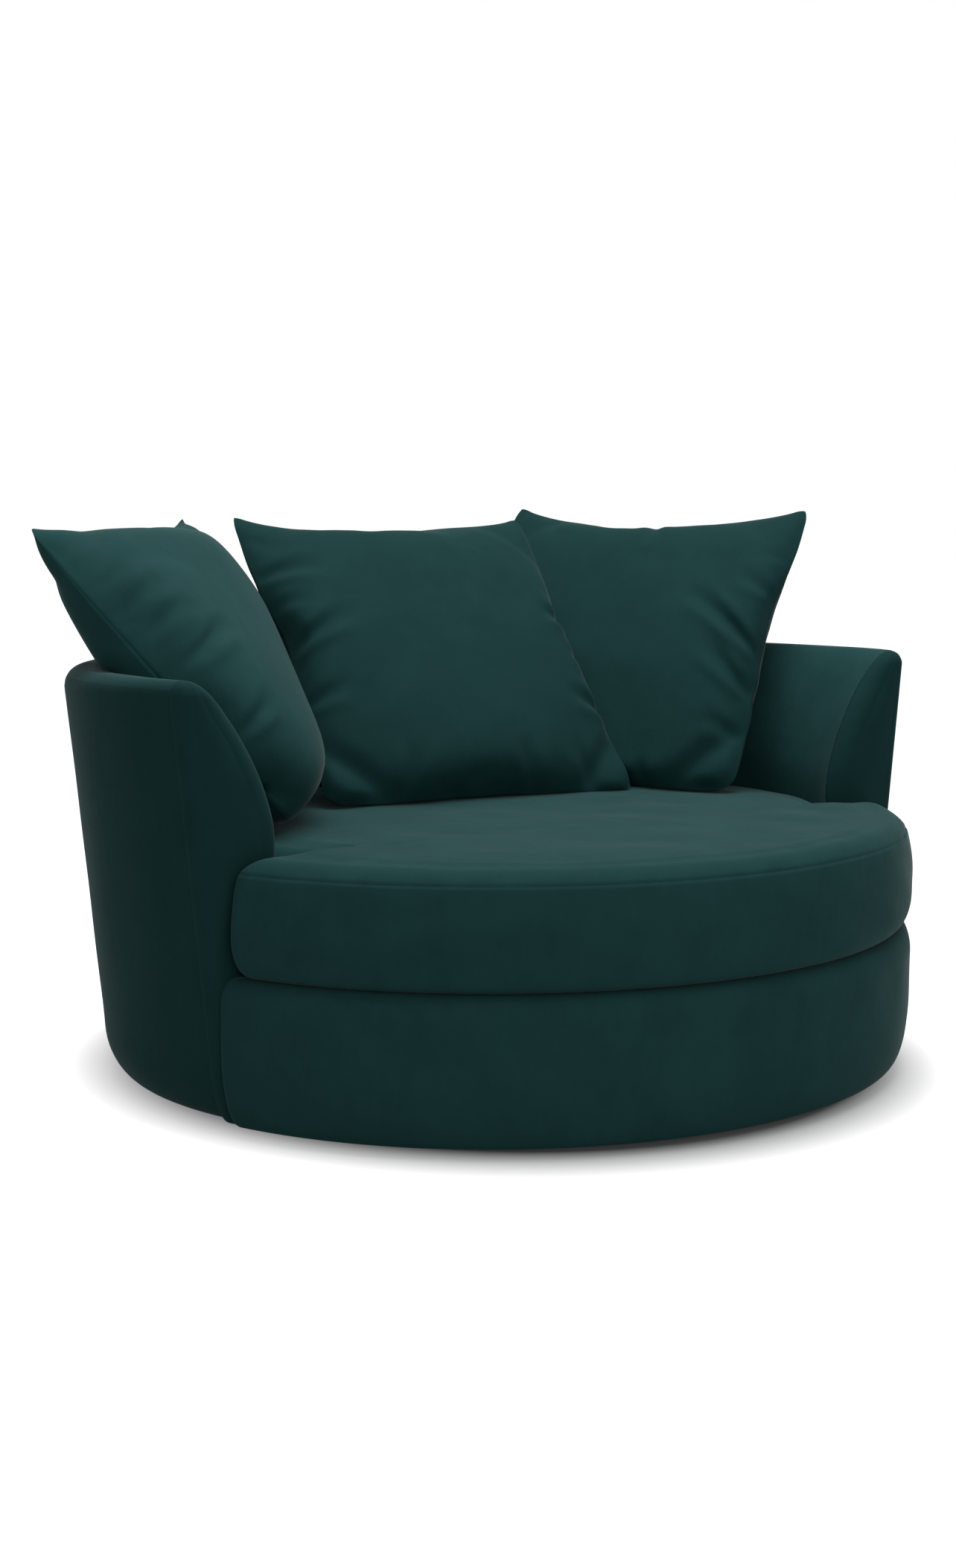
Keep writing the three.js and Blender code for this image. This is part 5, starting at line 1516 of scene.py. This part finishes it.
# %% The creases at the seams
CREASE_DEPTH, RIDGE_HIGH, RIDGE_AT = 0.62, 0.5, 2.1
PINCH, PINCH_REACH = 0.016, 2.2
CREASES = {
    "left": [(-1.0, 0.80, -0.80, 0.90, 0.30, 0.045), (-1.0, 0.56, -0.74, 0.70, 0.38, 0.045),
             (-1.0, 0.40, -0.78, 0.50, 0.32, 0.045), (-1.0, 0.24, -0.76, 0.32, 0.34, 0.045),
             (-1.0, 0.02, -0.55, 0.14, 0.32, 0.05), (-1.0, -0.45, -0.70, -0.34, 0.34, 0.05),
             (1.0, 0.86, 0.74, 0.72, 0.30, 0.05)],
    "middle": [(-1.0, 0.58, -0.62, 0.62, 0.60, 0.05), (-1.0, 0.36, -0.78, 0.34, 0.35, 0.04),
               (-1.0, 0.02, -0.58, 0.22, 0.65, 0.05), (-1.0, -0.36, -0.72, -0.30, 0.40, 0.05),
               (-1.0, 0.86, -0.76, 0.74, 0.35, 0.05), (1.0, 0.16, 0.74, 0.20, 0.50, 0.05),
               (1.0, -0.50, 0.70, -0.40, 0.55, 0.05), (1.0, -0.12, 0.84, -0.10, 0.30, 0.04),
               (-0.50, -1.0, -0.44, -0.72, 0.35, 0.05), (0.30, -1.0, 0.26, -0.74, 0.35, 0.05),
               (0.72, -1.0, 0.62, -0.72, 0.40, 0.05)],
    "right": [(1.0, -0.08, 0.46, 0.34, 0.65, 0.05), (1.0, -0.36, 0.66, -0.06, 0.60, 0.05),
              (1.0, 0.34, 0.74, 0.50, 0.40, 0.05), (1.0, 0.62, 0.84, 0.66, 0.30, 0.04),
              (1.0, -0.66, 0.74, -0.60, 0.40, 0.05), (0.06, 1.0, 0.10, 0.74, 0.35, 0.05),
              (-0.68, 1.0, -0.60, 0.78, 0.30, 0.05), (0.40, -1.0, 0.42, -0.74, 0.40, 0.05)],
}


def crease_share(u, v, crease):
    """How thin the fill is along a short line that starts at the seam: a valley across the
    line with a low ridge on each side, deepest at the seam and gone at the line's end."""
    u0, v0, u1, v1, depth, width = crease
    length = math.hypot(u1 - u0, v1 - v0)
    along = ((u - u0) * (u1 - u0) + (v - v0) * (v1 - v0)) / length ** 2
    aside = ((u - u0) * (v1 - v0) - (v - v0) * (u1 - u0)) / length
    fade = np.clip(1 - along, 0, 1) ** 1.2 * np.clip(1 + along / 0.05, 0, 1)
    spread = width * (0.55 + 0.6 * np.clip(along, 0, 1))
    valley = np.exp(-(aside / spread) ** 2)
    ridges = np.exp(-((np.abs(aside) - RIDGE_AT * spread) / spread) ** 2)
    return 1 - CREASE_DEPTH * depth * fade * (valley - RIDGE_HIGH * ridges)


def pinch_in(u, v, crease):
    """How far a crease draws the seam inwards where it starts, as a share of half the size."""
    u0, v0, u1, v1, depth, width = crease
    near = np.exp(-((u - u0) ** 2 + (v - v0) ** 2) / (PINCH_REACH * width) ** 2)
    length = math.hypot(u1 - u0, v1 - v0)
    return PINCH * depth * near * (u1 - u0) / length, PINCH * depth * near * (v1 - v0) / length


print("creases", {name: len(lines) for name, lines in CREASES.items()})

# %% [markdown]
# At a corner the filling doesn't reach the tip. The cloth folds over there: a small knob at the
# tip, and a valley between the knob and the cushion. Each folded tip is given by its corner
# and by how strong it is. The very tip is rounded, because two seams can't meet in a needle
# point. To round it, a square is mapped to a circle near the corner.

# %% The folded tips
KNOB_HIGH, KNOB_AT, KNOB_WIDE = 0.1, 0.11, 0.07
FOLD_DEEP, FOLD_AT, FOLD_WIDE = 0.24, 0.25, 0.055
SEAM_FADE, TIP_ROUND = 0.035, 0.1
FOLDED_TIPS = {
    "left": [(-1, 1, 0.5), (1, 1, 0.6)],
    "middle": [(-1, -1, 1.3), (1, -1, 1.2), (-1, 1, 0.5), (1, 1, 0.5)],
    "right": [(-1, -1, 0.6), (1, -1, 1.2), (-1, 1, 0.5), (1, 1, 0.5)],
}


def tip_fold(u, v, tip):
    """A folded corner: how much thicker a knob at the tip is, and how much of the fill is
    left in the valley between the knob and the cushion."""
    reach = (2 - u * tip[0] - v * tip[1]) / math.sqrt(2)
    in_from_seam = np.clip(np.minimum(1 - np.abs(u), 1 - np.abs(v)) / SEAM_FADE, 0, 1) ** 0.5
    knob = tip[2] * KNOB_HIGH * np.exp(-((reach - KNOB_AT) / KNOB_WIDE) ** 2) * in_from_seam
    return knob, 1 - FOLD_DEEP * tip[2] * np.exp(-((reach - FOLD_AT) / FOLD_WIDE) ** 2)


def rounded_tips(u, v):
    """How far the corners move in, as two arrays: on the last tenth before both seams, a
    square is mapped to the circle inside it."""
    in_u, in_v = [np.clip((np.abs(part) - 1) / TIP_ROUND + 1, 0, 1) for part in (u, v)]
    return (np.sign(u) * TIP_ROUND * in_u * (1 - np.sqrt(1 - in_v ** 2 / 2)),
            np.sign(v) * TIP_ROUND * in_v * (1 - np.sqrt(1 - in_u ** 2 / 2)))


print("folded tips", {name: len(tips) for name, tips in FOLDED_TIPS.items()})

# %% [markdown]
# Now the bag is dressed with all of that. The sides pull in most at their middles and not at
# the corners, the lower corners of a cushion that stands in a round chair are tucked in, and
# the upper tips reach a little further. Every one of these is a product of simple powers of
# the place on the square, so they can be changed one at a time.

# %% Dress a sheet of the bag
TUCK_POWER, TIP_POWER = 1.6, 5


def dress_sheet(sheet, name, place, creased):
    """Pulls the four sides in by one minus the square of the place along them, tucks the
    lower corners, lengthens the upper tips, and adds creases and folded tips."""
    u, v, full = sheet[..., 0], sheet[..., 1], sheet[..., 2].copy()
    if creased:
        full *= np.prod([crease_share(u, v, crease) for crease in CREASES[name]], axis=0)
    outwards = np.sign(full.sum())
    for tip in FOLDED_TIPS[name]:
        knob, left_in = tip_fold(u, v, tip)
        full = full * left_in + outwards * knob
    full = outwards * np.abs(full)
    shift = [pinch_in(u, v, crease) for crease in CREASES[name]]
    left, right, low, high = place["pull"]
    side = np.where(u < 0, left, right) * np.clip(1 - v ** 2, 0, 1)
    level = np.where(v < 0, low, high) * np.clip(1 - u ** 2, 0, 1)
    wide = u * (1 - side) + sum(move[0] for move in shift)
    tall = v * (1 - level) + sum(move[1] for move in shift)
    tuck = np.where(u < 0, place["tuck"][0], place["tuck"][1])
    tuck = 1 - tuck * (np.abs(u) * np.clip(-v, 0, 1)) ** TUCK_POWER
    tip = (np.clip(np.abs(u), 0, 1) * np.clip(np.abs(v), 0, 1)) ** TIP_POWER
    low_left, low_right, high_left, high_right = place["tips"]
    longer = np.where(v < 0, np.where(u < 0, low_left, low_right),
                      np.where(u < 0, high_left, high_right)) * tip / (CUSHION_SIZE / 2)
    in_wide, in_tall = rounded_tips(u, v)
    return wide * tuck - in_wide, tall * tuck + longer - in_tall, full


print("left cushion pulls in by", BACK_CUSHIONS["left"]["pull"], "of half its size")

# %% [markdown]
# The seam is a fine groove, 2.2 mm deep and about as wide, and the bag's cells are 9 mm wide.
# So three more rows of points are added next to the rim on every side before the rim is drawn
# in. Near the corners the groove fades out, because there the tip is folded anyway.

# %% A fine groove along the seam
SEAM_DEEP, SEAM_REACH, GROOVE_FADE = 2.2, 2.0, 40


def near_rim(sheet):
    """Adds rows close to the seam, and draws the rim in, so that the seam is a fine groove."""
    last = sheet.shape[0] - 1
    extra = np.array([0.14, 0.32, 0.58])
    index = np.unique(np.concatenate([np.arange(last + 1), extra, last - extra]))
    low = np.minimum(np.floor(index).astype(int), last - 1)
    part = index - low
    rows = sheet[low] * (1 - part)[:, None, None] + sheet[low + 1] * part[:, None, None]
    both = rows[:, low] * (1 - part)[None, :, None] + rows[:, low + 1] * part[None, :, None]
    cell = CUSHION_SIZE / last
    gone = np.minimum(index, last - index) * cell
    draw = SEAM_DEEP * np.exp(-(gone / SEAM_REACH) ** 2) / (CUSHION_SIZE / 2)
    sign = np.where(index < last / 2, 1, -1)
    corner = np.clip(np.maximum(gone[:, None], gone[None, :]) / GROOVE_FADE, 0, 1)
    both[..., 0] += (draw * sign)[:, None] * corner
    both[..., 1] += (draw * sign)[None, :] * corner
    return both


print("rows in a sheet", BAG_CELLS + 1, "before and", near_rim(bags[0][0]).shape[0], "after")

# %% [markdown]
# Last the dressed bag goes into its place. A point of the sheet is a place on the patch between
# the four corners plus a thickness along the patch's own normal. Two cushions share one bag:
# the right one has it turned by half a turn, so that nobody sees the same folds twice. Only
# the front sheet gets the drawn creases, because the wall hides the back one.

# %% Lay a bag between its corners
def lay_cushion(name, place):
    """Front and back sheets of a bag in the chair: the patch between the corners, plus the
    bag's thickness along the patch's normal, fuller towards the foot."""
    low_left, low_right, high_left, high_right = cushion_corners(place)
    across = low_right - low_left + high_right - high_left
    upwards = high_left - low_left + high_right - low_right
    normal = np.cross(across, upwards)
    normal /= np.linalg.norm(normal)
    sheets = []
    for sheet, swell_share, creased in zip(bags[place["bag"]], place["swell"], (True, False)):
        turned = np.rot90(sheet, place["quarter_turns"], axes=(0, 1)).copy()
        for _ in range(place["quarter_turns"]):
            turned[..., :2] = np.stack([turned[..., 1], -turned[..., 0]], -1)
        wide, tall, full = dress_sheet(near_rim(turned), name, place, creased)
        a, b = ((wide + 1) / 2)[..., None], ((tall + 1) / 2)[..., None]
        low = low_left * (1 - a) + low_right * a
        high = high_left * (1 - a) + high_right * a
        thick = place["half_thick"] * swell_share * full * (1 + place["fuller"] * tall)
        points = low * (1 - b) + high * b + normal * thick[..., None]
        sheets.append(press_on_wall(press_on_seat(press_on_neighbours(name, points))))
    return sheets


print("patch of the left cushion", np.round(cushion_corners(BACK_CUSHIONS["left"])[0]).tolist())

# %% [markdown]
# The front and the back sheet share their rim, so the points are joined the way the bag was
# numbered. One level of subdivision smooths the cloth between the points of the simulation.

# %% Make the three back cushions
for name, place in BACK_CUSHIONS.items():
    front_sheet, back_sheet = lay_cushion(name, place)
    cells = front_sheet.shape[0] - 1
    _, _, inner = bag_index(cells)
    cushion_points = np.concatenate([front_sheet.reshape(-1, 3), back_sheet[inner]])
    cushion = make_piece(f"back_cushion_{name}_velvet", cushion_points, bag_faces(cells),
                         sharp_degrees=180)
    smooth = cushion.modifiers.new("smooth_cloth", "SUBSURF")
    smooth.levels = smooth.render_levels = 1
    paint(cushion, place["cloth"])
    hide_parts(f"back_cushion_{name}")
    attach(cushion, f"back_cushion_{name}")
    print(name, "box", np.round(cushion_points.min(0)), np.round(cushion_points.max(0)))

# %% [markdown]
# The chair stands on a white studio floor. The floor takes the chair's shadow, and a glow of
# its own, which only the camera and mirrors see, lifts the rest of it to white. The glow is
# left out on an oval under the chair, a little smaller than the wall, and comes up to full
# within a quarter of the oval's size further out. There the shadow ends softly.

# %% The studio floor
FLOOR_HALF = 30.0
GLOW_HALF_WIDE, GLOW_HALF_DEEP, GLOW_FULL, GLOW_LEAST = 0.565, 0.6, 1.27, 0.02


def make_floor_material():
    """A diffuse grey with an added glow for camera, mirror and glass rays: nearly none under
    the chair, so that the shadow shows, and full a hand's breadth or two further out."""
    material = bpy.data.materials.new("studio_floor")
    material.use_nodes = True
    material.node_tree.nodes.clear()
    diffuse = add_node(material, "ShaderNodeBsdfDiffuse", {"Color": (0.5, 0.5, 0.5, 1.0)})
    path = add_node(material, "ShaderNodeLightPath")
    seen = add_node(material, "ShaderNodeMath", {"operation": "MAXIMUM"},
                    {0: path.outputs["Is Camera Ray"], 1: path.outputs["Is Glossy Ray"]})
    seen_too = add_node(material, "ShaderNodeMath", {"operation": "MAXIMUM"},
                        {0: seen.outputs[0], 1: path.outputs["Is Transmission Ray"]})
    place = add_node(material, "ShaderNodeTexCoord")
    round_off = add_node(material, "ShaderNodeVectorMath",
                         {"operation": "MULTIPLY",
                          1: (1 / GLOW_HALF_WIDE, 1 / GLOW_HALF_DEEP, 0.0)},
                         {0: place.outputs["Object"]})
    reach = add_node(material, "ShaderNodeVectorMath", {"operation": "LENGTH"},
                     {0: round_off.outputs["Vector"]})
    far = add_node(material, "ShaderNodeMapRange",
                   {"From Min": 1.0, "From Max": GLOW_FULL, "To Min": GLOW_LEAST},
                   {"Value": reach.outputs["Value"]})
    lift = add_node(material, "ShaderNodeMath", {"operation": "MULTIPLY"},
                    {0: seen_too.outputs[0], 1: far.outputs["Result"]})
    glow = add_node(material, "ShaderNodeEmission", None, {"Strength": lift.outputs[0]})
    both = add_node(material, "ShaderNodeAddShader", None,
                    {0: diffuse.outputs[0], 1: glow.outputs[0]})
    add_node(material, "ShaderNodeOutputMaterial", None, {"Surface": both.outputs[0]})
    return material


floor_mesh = bpy.data.meshes.new("floor")
floor_mesh.from_pydata([(-FLOOR_HALF, -FLOOR_HALF, 0), (FLOOR_HALF, -FLOOR_HALF, 0),
                        (FLOOR_HALF, FLOOR_HALF, 0), (-FLOOR_HALF, FLOOR_HALF, 0)],
                       [], [(0, 1, 2, 3)])
floor = bpy.data.objects.new("floor", floor_mesh)
bpy.context.scene.collection.objects.link(floor)
floor.data.materials.append(make_floor_material())
print("floor", 2 * FLOOR_HALF, "m wide")

# %% [markdown]
# The world is white to the camera and to mirrors, and a weak grey to the chair. A stronger sky
# would light the faces under the wall's flare as much as the seat, and the photograph shows
# them much darker.

# %% The world
SKY_STRENGTH = 0.23
world = bpy.data.worlds.new("studio")
bpy.context.scene.world = world
world.use_nodes = True
world.node_tree.nodes.clear()
sky_path = add_node(world, "ShaderNodeLightPath")
sky_seen = add_node(world, "ShaderNodeMath", {"operation": "MAXIMUM"},
                    {0: sky_path.outputs["Is Camera Ray"], 1: sky_path.outputs["Is Glossy Ray"]})
sky_seen_too = add_node(world, "ShaderNodeMath", {"operation": "MAXIMUM"},
                        {0: sky_seen.outputs[0], 1: sky_path.outputs["Is Transmission Ray"]})
sky_lift = add_node(world, "ShaderNodeMapRange", {"To Min": SKY_STRENGTH},
                    {"Value": sky_seen_too.outputs[0]})
sky = add_node(world, "ShaderNodeBackground", {"Color": (1.0, 1.0, 1.0, 1.0)},
               {"Strength": sky_lift.outputs["Result"]})
add_node(world, "ShaderNodeOutputWorld", None, {"Surface": sky.outputs[0]})
print("sky strength", SKY_STRENGTH)

# %% [markdown]
# Two big soft lamps light the chair. One hangs above its middle, so the seat and the tops are
# the brightest faces and the shadow lies all round the base. The other is a weak fill, low in
# front of the chair, which keeps the arm fronts and the base from going black.

# %% The lamps
LAMPS = {
    "overhead_softbox": {"place": (0.1, -0.15, 3.1), "aim": (0, 0, 0.4), "size": 2.2,
                         "watts": 64},
    "front_fill": {"place": (-1.0, -3.7, 1.35), "aim": (0, -0.2, 0.3), "size": 2.2,
                   "watts": 15},
}
for lamp_name, lamp in LAMPS.items():
    light = bpy.data.lights.new(lamp_name, "AREA")
    light.energy, light.size = lamp["watts"], lamp["size"]
    lamp_object = bpy.data.objects.new(lamp_name, light)
    bpy.context.scene.collection.objects.link(lamp_object)
    lamp_object.location = lamp["place"]
    lamp_object.rotation_mode = "QUATERNION"
    aim = Vector(lamp["aim"]) - Vector(lamp["place"])
    lamp_object.rotation_quaternion = aim.to_track_quat("-Z", "Y")
bpy.context.scene.view_settings.view_transform = "Standard"
print("lamps", {name: lamp["watts"] for name, lamp in LAMPS.items()})
